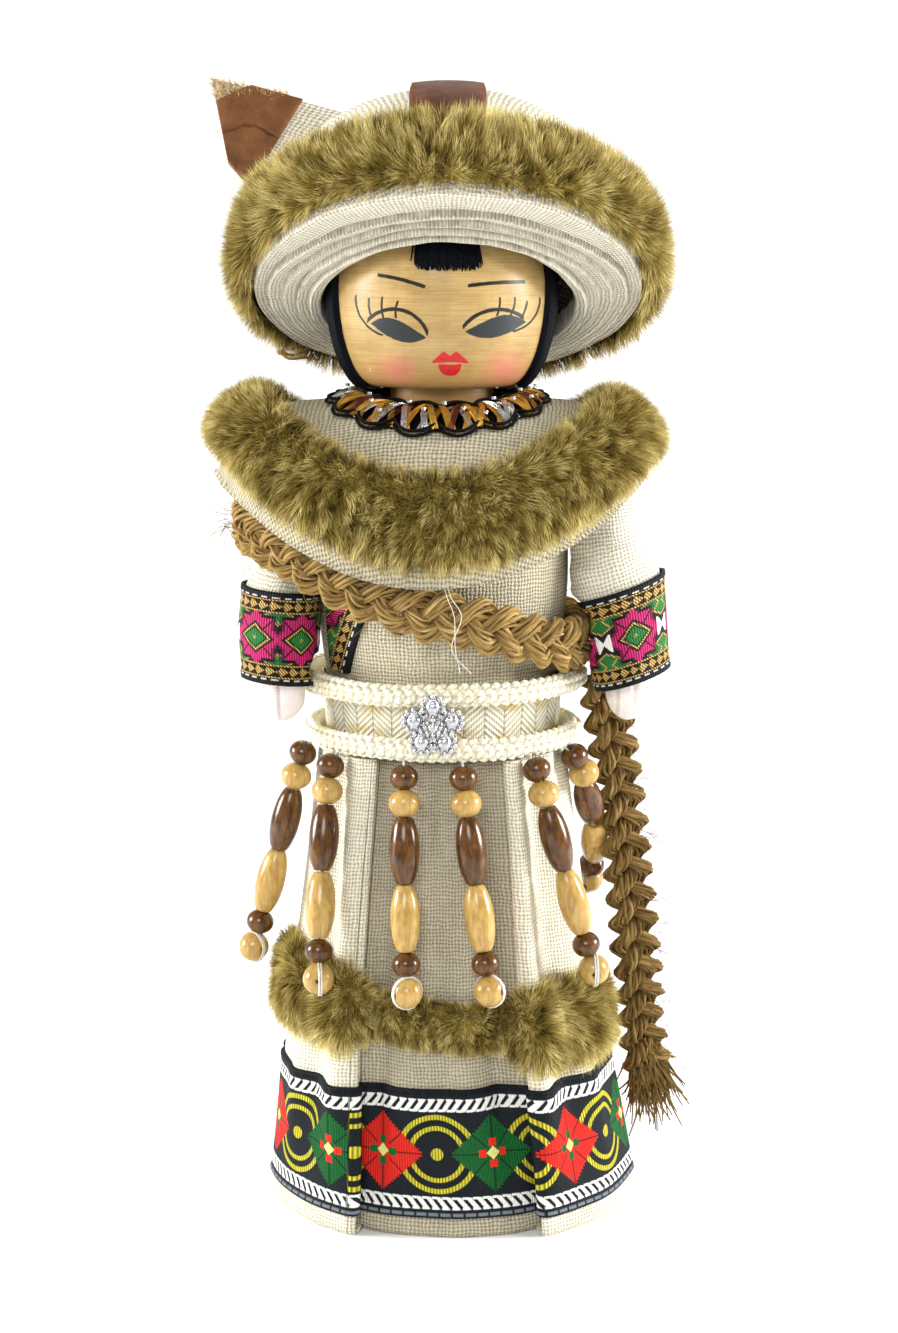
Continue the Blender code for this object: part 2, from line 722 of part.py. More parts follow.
# Arms: each row gives the share of the drop to the wrist, then the centre's x and y, the half width
# and the half depth as shares of that drop
ARMS = {
    "left": {
        "side": -1.0,
        "slant": -0.10,
        "rows": (
            (0.08, 0.590, 0.00, 0.070, 0.09),
            (0.18, 0.600, 0.00, 0.130, 0.16),
            (0.36, 0.590, -0.04, 0.115, 0.15),
            (0.55, 0.600, -0.07, 0.110, 0.15),
            (0.66, 0.640, -0.11, 0.138, 0.16),
            (0.82, 0.650, -0.17, 0.142, 0.15),
            (1.00, 0.645, -0.21, 0.130, 0.13),
        ),
    },
    "right": {
        "side": 1.0,
        "slant": 0.34,
        "rows": (
            (0.10, 0.560, 0.00, 0.060, 0.09),
            (0.20, 0.570, 0.00, 0.115, 0.15),
            (0.36, 0.590, -0.04, 0.140, 0.17),
            (0.55, 0.610, -0.07, 0.165, 0.17),
            (0.66, 0.640, -0.09, 0.170, 0.17),
            (0.82, 0.670, -0.13, 0.150, 0.16),
            (1.00, 0.705, -0.17, 0.125, 0.14),
        ),
    },
}


def arm_values(arm, drop_share):
    """Centre x and y, half width and half depth of an arm at a share of the drop to the wrist."""
    rows = arm["rows"]
    for upper, lower in zip(rows, rows[1:]):
        if drop_share <= lower[0]:
            share = (drop_share - upper[0]) / (lower[0] - upper[0])
            return [blend(first, second, share) * WRIST_DROP for first, second in zip(upper[1:], lower[1:])]
    return [value * WRIST_DROP for value in rows[-1][1:]]


def dressed_extra(side, z):
    """How far the belt, and on the right the sash, stand out from the body's side at height z."""
    belt = 3.0 * GAP + TAPE_THICK + 2.0 * BELT_CORD_RADIUS
    belt_top = TAPE_TOP + BELT_CORD_RADIUS
    extra = belt * smoothstep((belt_top + PINCH_RUN - z) / PINCH_RUN + 0.2)
    if side > 0.0:
        sash_top = TAPE_TOP + SASH_HIP_RISE + SASH_WIDTH / 2.0
        pinch = smoothstep((sash_top + PINCH_RUN - z) / PINCH_RUN + 0.2)
        extra = max(extra, (SASH_THICK + 5.0 * GAP) * pinch)
    return extra


def arm_section(arm, drop_share, offset, drop=0.0, thinner=1.0):
    """Points around an arm, kept clear of what lies at the body's side."""
    centre_x, centre_y, half_width, half_depth = arm_values(arm, drop_share)
    middle_z = SHOULDER_Z - WRIST_DROP * drop_share - drop
    side = arm["side"]
    points = []
    for angle in turn_list(SLEEVE_STATIONS):
        x = (half_width * thinner + offset) * sin(angle)
        y = centre_y - (half_depth * thinner + offset) * cos(angle)
        z = middle_z + arm["slant"] * x * smoothstep((drop_share - 0.3) / 0.3)
        world_x = side * centre_x + x
        extra = dressed_extra(side, z)
        body_width, body_depth = bodice_halves(z)
        bulge = 1.0 - (y / (body_depth + extra)) ** 2
        clear = 3.0 * GAP + CUFF_THICK - offset
        if bulge > 0.0:
            clear += (body_width + extra) * sqrt(bulge)
            if side * (world_x - BODY_SHIFT) < clear:
                world_x = BODY_SHIFT + side * clear
        points.append(Vector((world_x, y, z)))
    return points


def make_arm(name):
    arm = ARMS[name]
    cuff_top = 1.0 - CUFF_HEIGHT / WRIST_DROP
    cuff_rows = [blend(cuff_top, 1.0, share) for share in (0.0, 0.3, 0.62, 1.0)]
    shares = [row[0] for row in arm["rows"] if row[0] < cuff_top - 0.04] + cuff_rows
    sleeve = [arm_section(arm, share, 0.0) for share in shares]
    skin("sleeve_" + name, sleeve, linen(), closed=False)
    inner = [arm_section(arm, share, GAP) for share in cuff_rows]
    outer = [arm_section(arm, share, GAP + CUFF_THICK) for share in reversed(cuff_rows)]
    rings = inner + outer
    columns = [[ring[index] for ring in rings] for index in range(SLEEVE_STATIONS)]
    skin("cuff_" + name, columns, woven_ribbon(), closed=True)
    hand = []
    for share, thinner in ((0.0, 0.82), (0.35, 0.80), (0.7, 0.62), (0.93, 0.34), (1.0, 0.12)):
        hand.append(arm_section(arm, 1.0, 0.0, GAP + HAND_LENGTH * share, thinner))
    skin("hand_" + name, hand, pink_satin(), closed=False)


# Sash: a closed band from the right hip across the chest, over the left arm and across the back

# Points of its middle line: across, back, and up from the top of the belt's tape
SASH_ROUTE = (
    (-0.0075, -0.0266, 0.0161), (0.0020, -0.0268, 0.0142), (0.0105, -0.0250, 0.0117),
    (0.0175, -0.0212, 0.0092), (0.0226, -0.0155, 0.0075), (0.0255, -0.0080, SASH_HIP_RISE),
    (0.0265, 0.0000, SASH_HIP_RISE), (0.0243, 0.0105, 0.0079), (0.0178, 0.0205, 0.0099),
    (0.0080, 0.0256, 0.0129), (-0.0040, 0.0266, 0.0169), (-0.0160, 0.0248, 0.0214),
    (-0.0260, 0.0200, 0.0259), (-0.0345, 0.0135, 0.0294), (-0.0400, 0.0060, 0.0309),
    (-0.0408, -0.0030, 0.0304), (-0.0378, -0.0120, 0.0287), (-0.0315, -0.0188, 0.0259),
    (-0.0240, -0.0232, 0.0224), (-0.0160, -0.0256, 0.0191),
)


def closed_curve(points, count):
    """A smooth closed curve through the points."""
    total = len(points)
    vectors = [Vector(point) for point in points]
    made = []
    for index in range(count):
        place = total * index / count
        base = int(place)
        share = place - base
        p0, p1, p2, p3 = (vectors[(base + step) % total] for step in (-1, 0, 1, 2))
        made.append(catmull(p0, p1, p2, p3, share))
    return made


def catmull(p0, p1, p2, p3, share):
    square = share * share
    cube = square * share
    return 0.5 * (2.0 * p1 + (p2 - p0) * share + (2.0 * p0 - 5.0 * p1 + 4.0 * p2 - p3) * square
                  + (3.0 * p1 - p0 - 3.0 * p2 + p3) * cube)


def band_section(point, tangent, outward, width, thick, sides):
    """An oval section across a band, its width along the body and its thickness outward."""
    across = tangent.cross(outward).normalized()
    out = across.cross(tangent).normalized()
    ring = []
    for roll in turn_list(sides):
        ring.append(point + across * (width / 2.0 * cos(roll)) + out * (thick / 2.0 * sin(roll)))
    return ring


def make_sash():
    route = [(x, y, TAPE_TOP + rise) for x, y, rise in SASH_ROUTE]
    centres = closed_curve(route, SASH_STATIONS)
    sections = []
    for index, point in enumerate(centres):
        tangent = centres[(index + 1) % SASH_STATIONS] - centres[index - 1]
        outward = Vector((point.x - BODY_SHIFT, point.y, 0.0))
        sections.append(band_section(point, tangent, outward, SASH_WIDTH, SASH_THICK, 6))
    skin("sash", sections, jute(), closed=True)


# The sash's free end, a braid that hangs from the right hip and ends in a frayed tuft

TAIL_ROUTE = (
    (0.0302, -0.0005, 0.1020), (0.0320, 0.0002, 0.0950), (0.0346, 0.0012, 0.0850),
    (0.0370, 0.0022, 0.0750), (0.0382, 0.0036, 0.0650), (0.0389, 0.0054, 0.0550),
    (0.0396, 0.0070, 0.0450), (0.0405, 0.0088, 0.0350), (0.0416, 0.0104, 0.0260),
    (0.0430, 0.0118, 0.0190),
)
TAIL_RADIUS = 0.0036
TUFT_LENGTH = 0.0130
TUFT_SPREAD = 1.6


def open_curve(points, per_span):
    """A smooth curve through the points, with even steps in each span."""
    vectors = [Vector(point) for point in points]
    vectors.insert(0, vectors[0] * 2.0 - vectors[1])
    vectors.append(vectors[-1] * 2.0 - vectors[-2])
    made = []
    for base in range(1, len(vectors) - 2):
        for step in range(per_span):
            made.append(catmull(*vectors[base - 1:base + 3], step / per_span))
    made.append(vectors[-2])
    return made


def make_jute_tail():
    points = open_curve(TAIL_ROUTE, 1)
    curve = bpy.data.curves.new("jute_tail", "CURVE")
    curve.dimensions = "3D"
    curve.bevel_depth = TAIL_RADIUS
    curve.bevel_resolution = 2
    curve.use_fill_caps = True
    spline = curve.splines.new("POLY")
    spline.points.add(len(points) - 1)
    for target, point in zip(spline.points, points):
        target.co = (*point, 1.0)
    curve.materials.append(jute())
    made = bpy.data.objects.new("jute_tail", curve)
    bpy.context.scene.collection.objects.link(made)


def make_jute_tuft():
    points = open_curve(TAIL_ROUTE, 1)
    direction = (points[-1] - points[-2]).normalized()
    start = points[-1] + direction * GAP
    side = direction.cross(Vector((0.0, 1.0, 0.0))).normalized()
    depth = direction.cross(side).normalized()
    sections = []
    for share, spread in ((0.0, 0.9), (0.25, 0.75), (0.6, 1.3), (1.0, TUFT_SPREAD)):
        centre = start + direction * (TUFT_LENGTH * share)
        ring = []
        for roll in turn_list(8):
            ring.append(centre + side * (TAIL_RADIUS * spread * cos(roll))
                        + depth * (TAIL_RADIUS * 0.9 * spread * sin(roll)))
        sections.append(ring)
    skin("jute_tuft", sections, jute(), closed=False)


# Bead strings

def dressed_offset(angle, z):
    """How far the fur stands out from the skirt's cloth at this place."""
    low, high = skirt_fur_range(angle)
    edge = SKIRT_FUR_PILE * 0.5
    if low - edge < z < high + edge:
        return skirt_fur_pile(angle)
    return 0.0


def bead_profile():
    """(distance down the string, radius) pairs for the beads of one string."""
    beads = (
        (ROUND_BEAD, ROUND_BEAD * 0.86, 3),
        (PALE_BEAD, PALE_BEAD * 0.86, 3),
        (OVAL_BEAD, OVAL_LENGTH, 4),
        (OVAL_BEAD, OVAL_LENGTH, 4),
        (ROUND_BEAD, ROUND_BEAD * 0.86, 3),
        (PALE_BEAD, PALE_BEAD, 3),
    )
    place = ROUND_BEAD * 0.1
    pairs = [(0.0, THREAD_RADIUS)]
    for diameter, length, rings in beads:
        for ring in range(rings):
            along = (ring + 0.4) / (rings - 0.2)
            swell = sqrt(max(0.0, 1.0 - (2.0 * along - 1.0) ** 2))
            pairs.append((place + length * along, max(THREAD_RADIUS * 2.4, diameter / 2.0 * swell)))
        place += length
    return pairs


def string_path(top_angle, low_angle, length):
    """Points down one string, from under the belt's cord and clear of the skirt and its fur."""
    steps = 40
    top_z = belt_cord_heights()[0] - BELT_CORD_RADIUS - GAP
    clearance = PALE_BEAD / 2.0 + GAP
    drop = length * 0.98
    needed = 0.0
    for step in range(1, steps + 1):
        share = step / steps
        z = top_z - drop * share
        stand_off = dressed_offset(blend(top_angle, low_angle, share), z)
        needed = max(needed, stand_off / share)
    start = belt_cord_point(top_angle, belt_cord_heights()[0], BELT_CORD_RADIUS * 0.3)
    start.z = top_z
    points = []
    for step in range(steps + 1):
        share = step / steps
        point = skirt_point(blend(top_angle, low_angle, share), top_z - drop * share, clearance + needed * share)
        points.append(start.lerp(point, smoothstep(share / 0.07)))
    return points


def along_path(points, distance):
    """The point and direction at a distance down a path; past its end the path runs on straight."""
    for near, far in zip(points, points[1:]):
        run = (far - near).length
        if distance <= run or far is points[-1]:
            direction = (far - near) / run
            return near + direction * distance, direction
        distance -= run


def make_bead_string(number, top_degrees, low_degrees):
    profile = bead_profile()
    path = string_path(radians(top_degrees), radians(low_degrees), profile[-1][0])
    sections = []
    for along, radius in profile:
        centre, direction = along_path(path, along)
        sections.append(band_section(centre, direction, Vector((centre.x, centre.y, 0.0)),
                                     2.0 * radius, 2.0 * radius, BEAD_SIDES))
    skin("bead_string_%d" % number, sections, bead_wood(), closed=False)


def make_bead_strings():
    for number, (top_degrees, low_degrees) in enumerate(STRINGS, start=1):
        make_bead_string(number, top_degrees, low_degrees)


def build():
    clear_scene()
    make_skirt()
    make_skirt_ribbon()
    make_skirt_fur()
    make_bodice()
    make_belt_tape()
    make_belt_cords()
    make_belt_flower()
    make_side_ribbon()
    make_head()
    make_hair()
    make_fringe()
    make_hat_brim()
    make_hat_crown()
    make_hat_fur()
    make_hat_strip()
    make_hat_flap()
    make_cape()
    make_cape_trims()
    for name in ARMS:
        make_arm(name)
    make_sash()
    make_jute_tail()
    make_jute_tuft()
    make_bead_strings()


build()
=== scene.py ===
"""Looks of the folk doll: cloth, fur, braids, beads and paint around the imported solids.

Metres, +Z up; the doll faces -Y.  Angles around the body start at the front and grow towards +X.
Pattern coordinates on cloth and ribbons are in millimetres.
"""

from math import asin, cos, hypot, pi, radians, sin, sqrt

import bpy
import numpy as np
from mathutils import Matrix, Vector
from mathutils.kdtree import KDTree
from mathutils.noise import noise as drift


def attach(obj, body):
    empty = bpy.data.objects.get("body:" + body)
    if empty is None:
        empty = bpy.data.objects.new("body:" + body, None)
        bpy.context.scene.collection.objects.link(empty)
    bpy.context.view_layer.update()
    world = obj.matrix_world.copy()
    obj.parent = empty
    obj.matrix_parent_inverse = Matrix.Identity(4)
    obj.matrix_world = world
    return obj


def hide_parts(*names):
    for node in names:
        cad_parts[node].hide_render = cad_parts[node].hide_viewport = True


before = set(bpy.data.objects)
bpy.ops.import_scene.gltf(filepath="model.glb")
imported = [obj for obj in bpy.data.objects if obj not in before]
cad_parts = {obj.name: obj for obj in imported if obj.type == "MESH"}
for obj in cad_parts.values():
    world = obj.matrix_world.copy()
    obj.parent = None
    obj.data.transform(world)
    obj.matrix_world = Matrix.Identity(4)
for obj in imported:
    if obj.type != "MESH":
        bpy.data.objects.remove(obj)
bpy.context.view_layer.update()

MM = 0.001
GAP = 0.0003

# Camera, from the photograph's viewing angle
CAMERA_PLACE = (0.0, -0.480, 0.195)
CAMERA_PITCH = 10.1       # degrees down
CAMERA_LENS = 64.8        # millimetres on a 36 mm sensor

# Skirt, as in the solids except for its deeper pleats
SKIRT_HEIGHT = 0.0945
HEM_HALF_WIDTH = 0.0382
HEM_HALF_DEPTH = 0.0360
SKIRT_PUFF = 0.0026
SKIRT_FLARE = 1.1
PLEAT_DEPTH = 0.0030
PLEAT_AT_BELT = 0.60
HEM_SHIFT = 0.0007
SUNK_PANELS = ((-2.0, 29.0, 1.0), (100.0, 19.0, 0.6), (-104.0, 19.0, 0.6), (178.0, 27.0, 0.8))
FOLD_SPAN = 8.0
RIBBON_WIDTH = 0.0256
RIBBON_THICK = 0.0007
RIBBON_LOW = 0.0042
RIBBON_TOP = RIBBON_LOW + RIBBON_WIDTH
SKIRT_FUR_ABOVE_RIBBON = 0.0062
SKIRT_FUR_WIDTH = 0.0175
SKIRT_FUR_SUNK_WIDTH = 0.0100
SKIRT_FUR_PILE = 0.0046

# Body and belt, as in the solids
BODICE_HEIGHT = 0.0662
WAIST_HALF_WIDTH = 0.0225
WAIST_HALF_DEPTH = 0.0208
CHEST_HALF_WIDTH = 0.0253
CHEST_HALF_DEPTH = 0.0228
BODY_SHIFT = -0.0014
TAPE_WIDTH = 0.0140
TAPE_THICK = 0.0008
BELT_CORD_RADIUS = 0.0021
FLOWER_RADIUS = 0.0058
FLOWER_SHIFT = -0.0017
WAIST_Z = SKIRT_HEIGHT + GAP
SHOULDER_Z = WAIST_Z + BODICE_HEIGHT
TAPE_LOW = WAIST_Z + GAP
TAPE_TOP = TAPE_LOW + TAPE_WIDTH

# Head and hat, as in the solids except where noted and for the flap's outline
HEAD_RADIUS = 0.0216
CHIN_DROP = 0.0190
CHIN_RADIUS = 0.0138
NECK_RADIUS = 0.0103
NECK_LENGTH = 0.0052
HAIR_THICK = 0.0008
HAIR_PART = 68.0
CHIN_Z = SHOULDER_Z + GAP + NECK_LENGTH
HEAD_CENTRE = Vector((BODY_SHIFT, 0.0, CHIN_Z + CHIN_DROP))
FRINGE_WIDTH = 0.0125
FRINGE_LENGTH = 0.0075
HAT_TILT = 26.0
HAT_SHIFT = 0.0012
BRIM_HALF_WIDTH = 0.0383
BRIM_HALF_DEPTH = 0.0402
BRIM_STEP = 0.0011
BRIM_THICK = 0.0018
CROWN_HEIGHT = 0.0352     # the stuffed linen sits lower than its solid
CROWN_SQUARENESS = 2.4
HAT_FUR_HEIGHT = 0.0150
HAT_FUR_PILE = 0.0054
STRIP_WIDTH = 0.0142
LEATHER_THICK = 0.0010
FLAP_THICK = 0.0022
FLAP_CREST_X = -0.0120
FLAP_TIP_X = -0.0480
FLAP_TIP_UP = 0.0460
FLAP_HEEL_X = -0.0440
FLAP_HEEL_UP = 0.0265
FLAP_LEATHER_SHARE = 0.52
# Where the brim's folds begin, as shares from its outer edge to the hole
FOLDS_AT_SIDE = (0.0, 0.20, 0.42, 0.64, 0.83, 1.0)
FOLDS_AT_FRONT = (0.0, 0.52, 0.68, 0.81, 0.91, 1.0)
FOLD_RISE = 0.0017
HOLE_EASE = 0.09
BRIM_FRONT_LIFT = 0.0016
BRIM_REACH = 0.0135       # from the brim's outer edge to its hole
FOLD_PLACE = 8.0          # millimetres of pattern kept for each fold
SCALLOPS = 19
# The linen of this sunk front panel is painted darker, as shade.
SHADED_SUNK_CLOTH = (3.0, 43.0)  # the sunk front panel, as pattern places in millimetres

# Cape, as in the solids
CAPE_THICK = 0.0008
CAPE_SHIFT = -0.0034
CAPE_NECK_RADIUS = 0.0118
CAPE_HALF_WIDTH = 0.0425
CAPE_FRONT = 0.0325
CAPE_FRONT_DROP = 0.0312
CAPE_SIDE_DROP = 0.0122
CAPE_SHOULDER_EASE = 0.0040
CAPE_SHOULDER_RISE = 0.0036
CAPE_FUR_BAND = 0.0165
CAPE_FUR_PILE = 0.0060
CAPE_FUR_SIDE_PILE = 0.0088

# Arms, as in the solids
WRIST_DROP = 0.0520
CUFF_HEIGHT = 0.0178
CUFF_THICK = 0.0005
HAND_LENGTH = 0.0085
PINCH_RUN = 0.0040

# Jute, as in the solids except for the tail's upper end and its wider, flatter section
SASH_WIDTH = 0.0104
SASH_THICK = 0.0052
SASH_HIP_RISE = 0.0069
SASH_ROUTE = (
    (-0.0075, -0.0266, 0.0161), (0.0020, -0.0268, 0.0142), (0.0105, -0.0250, 0.0117),
    (0.0175, -0.0212, 0.0092), (0.0226, -0.0155, 0.0075), (0.0255, -0.0080, SASH_HIP_RISE),
    (0.0265, 0.0000, SASH_HIP_RISE), (0.0243, 0.0105, 0.0079), (0.0178, 0.0205, 0.0099),
    (0.0080, 0.0256, 0.0129), (-0.0040, 0.0266, 0.0169), (-0.0160, 0.0248, 0.0214),
    (-0.0260, 0.0200, 0.0259), (-0.0345, 0.0135, 0.0294), (-0.0400, 0.0060, 0.0309),
    (-0.0408, -0.0030, 0.0304), (-0.0378, -0.0120, 0.0287), (-0.0315, -0.0188, 0.0259),
    (-0.0240, -0.0232, 0.0224), (-0.0160, -0.0256, 0.0191),
)
TAIL_ROUTE = (
    (0.0306, 0.0004, 0.1080), (0.0326, 0.0024, 0.0995), (0.0346, 0.0036, 0.0870),
    (0.0362, 0.0046, 0.0750), (0.0375, 0.0054, 0.0650), (0.0386, 0.0062, 0.0550),
    (0.0396, 0.0070, 0.0450), (0.0405, 0.0088, 0.0350), (0.0416, 0.0104, 0.0260),
    (0.0430, 0.0118, 0.0190),
)
TAIL_WIDTH = 0.0112
TAIL_THICK = 0.0062
TUFT_LENGTH = 0.0130

# Beads, as in the solids
ROUND_BEAD = 0.0055
PALE_BEAD = 0.0061
OVAL_BEAD = 0.0058
OVAL_LENGTH = 0.0132
STRINGS = ((-80.0, -82.0), (-51.0, -37.0), (-16.0, -11.0), (8.5, 16.0), (40.0, 53.0), (66.0, 138.0))

LINEN_PITCH = 0.74        # millimetres from thread to thread


# Small shared formulas

def smoothstep(value):
    value = min(1.0, max(0.0, value))
    return value * value * (3.0 - 2.0 * value)


def blend(low, high, share):
    return low + (high - low) * share


def turn_list(count):
    return [2.0 * pi * index / count for index in range(count)]


def around(centre_x, half_width, half_depth, angle, z):
    return Vector((centre_x + half_width * sin(angle), -half_depth * cos(angle), z))


def wander(point, size, seed=0.0):
    """Smooth unevenness between -1 and 1 whose bumps are about size across."""
    return drift(Vector(point) / size + Vector((seed, seed * 1.7, seed * 0.3)))


def catmull(p0, p1, p2, p3, share):
    square = share * share
    cube = square * share
    return 0.5 * (2.0 * p1 + (p2 - p0) * share + (2.0 * p0 - 5.0 * p1 + 4.0 * p2 - p3) * square
                  + (3.0 * p1 - p0 - 3.0 * p2 + p3) * cube)


def closed_curve(points, count):
    vectors = [Vector(point) for point in points]
    total = len(vectors)
    made = []
    for index in range(count):
        place = total * index / count
        base = int(place)
        near = [vectors[(base + step) % total] for step in (-1, 0, 1, 2)]
        made.append(catmull(*near, place - base))
    return made


def open_curve(points, per_span):
    vectors = [Vector(point) for point in points]
    vectors.insert(0, vectors[0] * 2.0 - vectors[1])
    vectors.append(vectors[-1] * 2.0 - vectors[-2])
    made = []
    for base in range(1, len(vectors) - 2):
        for step in range(per_span):
            made.append(catmull(*vectors[base - 1:base + 3], step / per_span))
    made.append(vectors[-2])
    return made


# Meshes

class Sewing:
    """Collects the points, faces, pattern places and material slots of one piece."""

    def __init__(self):
        self.points = []
        self.faces = []
        self.places = []
        self.slots = []

    def skin(self, rows, place=None, ring_rows=False, ring_columns=False, slot=0):
        """A surface over rows of points; place(row, column) is its pattern place in millimetres."""
        start = len(self.points)
        height, width = len(rows), len(rows[0])
        for row in rows:
            self.points += [tuple(point) for point in row]
        for i in range(height if ring_rows else height - 1):
            for j in range(width if ring_columns else width - 1):
                corners = ((i, j), (i, j + 1), (i + 1, j + 1), (i + 1, j))
                self.faces.append([start + (a % height) * width + b % width for a, b in corners])
                self.slots.append(slot)
                self.places += [place(a, b) if place else (0.0, 0.0) for a, b in corners]
        return start

    def cap(self, indices, slot=0):
        self.faces.append(indices)
        self.slots.append(slot)
        self.places += [(0.0, 0.0)] * len(indices)

    def tube(self, path, radius, sides=6, closed=False, slot=0, squash=1.0, phase=0.0):
        """A round cord along a path; radius is a number or a function of the share along it."""
        count = len(path)
        rows = []
        ahead = (path[1] - path[0]).normalized()
        side = ahead.orthogonal().normalized()
        travelled = [0.0]
        for index in range(count):
            if closed:
                ahead = (path[(index + 1) % count] - path[index - 1]).normalized()
            else:
                ahead = (path[min(index + 1, count - 1)] - path[max(index - 1, 0)]).normalized()
            side = (side - ahead * side.dot(ahead)).normalized()
            depth = ahead.cross(side)
            size = radius(index / (count - 1)) if callable(radius) else radius
            row = []
            for roll in turn_list(sides):
                row.append(path[index] + side * (size * cos(roll)) + depth * (size * squash * sin(roll)))
            rows.append(row)
            travelled.append(travelled[-1] + (path[(index + 1) % count] - path[index]).length / MM)

        def place(row, column):
            return travelled[row], phase + column / sides

        start = self.skin(rows, place, ring_rows=closed, ring_columns=True, slot=slot)
        if not closed:
            self.cap([start + column for column in range(sides)][::-1], slot)
            last = start + (count - 1) * sides
            self.cap([last + column for column in range(sides)], slot)

    def ball(self, centre, radius, slot=0, rings=7, sides=10, squash=(1.0, 1.0, 1.0)):
        rows = []
        for ring in range(1, rings):
            lift = pi * ring / rings
            row = []
            for turn in turn_list(sides):
                part = Vector((sin(lift) * cos(turn), sin(lift) * sin(turn), cos(lift)))
                row.append(centre + Vector([a * b * radius for a, b in zip(part, squash)]))
            rows.append(row)
        start = self.skin(rows, ring_columns=True, slot=slot)
        self.cap([start + column for column in range(sides)], slot)
        last = start + (rings - 2) * sides
        self.cap([last + column for column in range(sides)][::-1], slot)

    def make(self, name, *surfaces, smooth=True, sharp=None):
        mesh = bpy.data.meshes.new(name)
        mesh.from_pydata(self.points, [], self.faces)
        layer = mesh.uv_layers.new(name="place")
        layer.data.foreach_set("uv", [number for spot in self.places for number in spot])
        mesh.polygons.foreach_set("material_index", self.slots)
        if smooth:
            mesh.shade_smooth()
            if sharp:
                mesh.set_sharp_from_angle(angle=radians(sharp))
        for surface in surfaces:
            mesh.materials.append(surface)
        mesh.update()
        made = bpy.data.objects.new(name, mesh)
        bpy.context.scene.collection.objects.link(made)
        return made


def dress(piece, *nodes):
    """The piece moves with the doll and stands for these solids."""
    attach(piece, "root")
    if nodes:
        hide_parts(*nodes)
    return piece


# Materials: a small language over shader nodes

def shade(red, green, blue):
    """A colour given as it looks on screen, 0 to 255, as the shader needs it."""
    parts = []
    for value in (red, green, blue):
        value /= 255.0
        parts.append(value / 12.92 if value <= 0.04045 else ((value + 0.055) / 1.055) ** 2.4)
    return (*parts, 1.0)


class Field:
    """A number that varies over a surface."""

    def __init__(self, tree, socket):
        self.tree = tree
        self.socket = socket

    def combine(self, operation, *values, clamp=False):
        return calculate(self.tree, operation, self, *values, clamp=clamp)

    def __add__(self, other):
        return self.combine("ADD", other)

    __radd__ = __add__

    def __sub__(self, other):
        return self.combine("SUBTRACT", other)

    def __rsub__(self, other):
        return calculate(self.tree, "SUBTRACT", other, self)

    def __mul__(self, other):
        return self.combine("MULTIPLY", other)

    __rmul__ = __mul__

    def __truediv__(self, other):
        return self.combine("DIVIDE", other)

    def sine(self):
        return self.combine("SINE")

    def size(self):
        return self.combine("ABSOLUTE")

    def sign(self):
        return self.combine("SIGN")

    def power(self, exponent):
        return self.combine("POWER", exponent)

    def root(self):
        return self.combine("SQRT")

    def lowest(self, other):
        return self.combine("MINIMUM", other)

    def highest(self, other):
        return self.combine("MAXIMUM", other)

    def clamped(self):
        return self.combine("ADD", 0.0, clamp=True)

    def repeat(self, period):
        """Place within a period, from minus half to plus half of it."""
        return ((self / period + 0.5).combine("FRACT") - 0.5) * period

    def stepped(self, size):
        return ((self / size).combine("FLOOR") + 0.5) * size

    def below(self, limit, soft=0.12):
        """1 where the number is under the limit, 0 above it."""
        return ((limit - self) / soft + 0.5).clamped()

    def above(self, limit, soft=0.12):
        return ((self - limit) / soft + 0.5).clamped()

    def between(self, low, high, soft=0.12):
        return self.above(low, soft) * self.below(high, soft)


def feed(tree, target, value):
    if isinstance(value, Field):
        tree.links.new(value.socket, target)
    else:
        target.default_value = value


def calculate(tree, operation, *values, clamp=False):
    node = tree.nodes.new("ShaderNodeMath")
    node.operation = operation
    node.use_clamp = clamp
    for target, value in zip(node.inputs, values):
        feed(tree, target, value)
    return Field(tree, node.outputs[0])


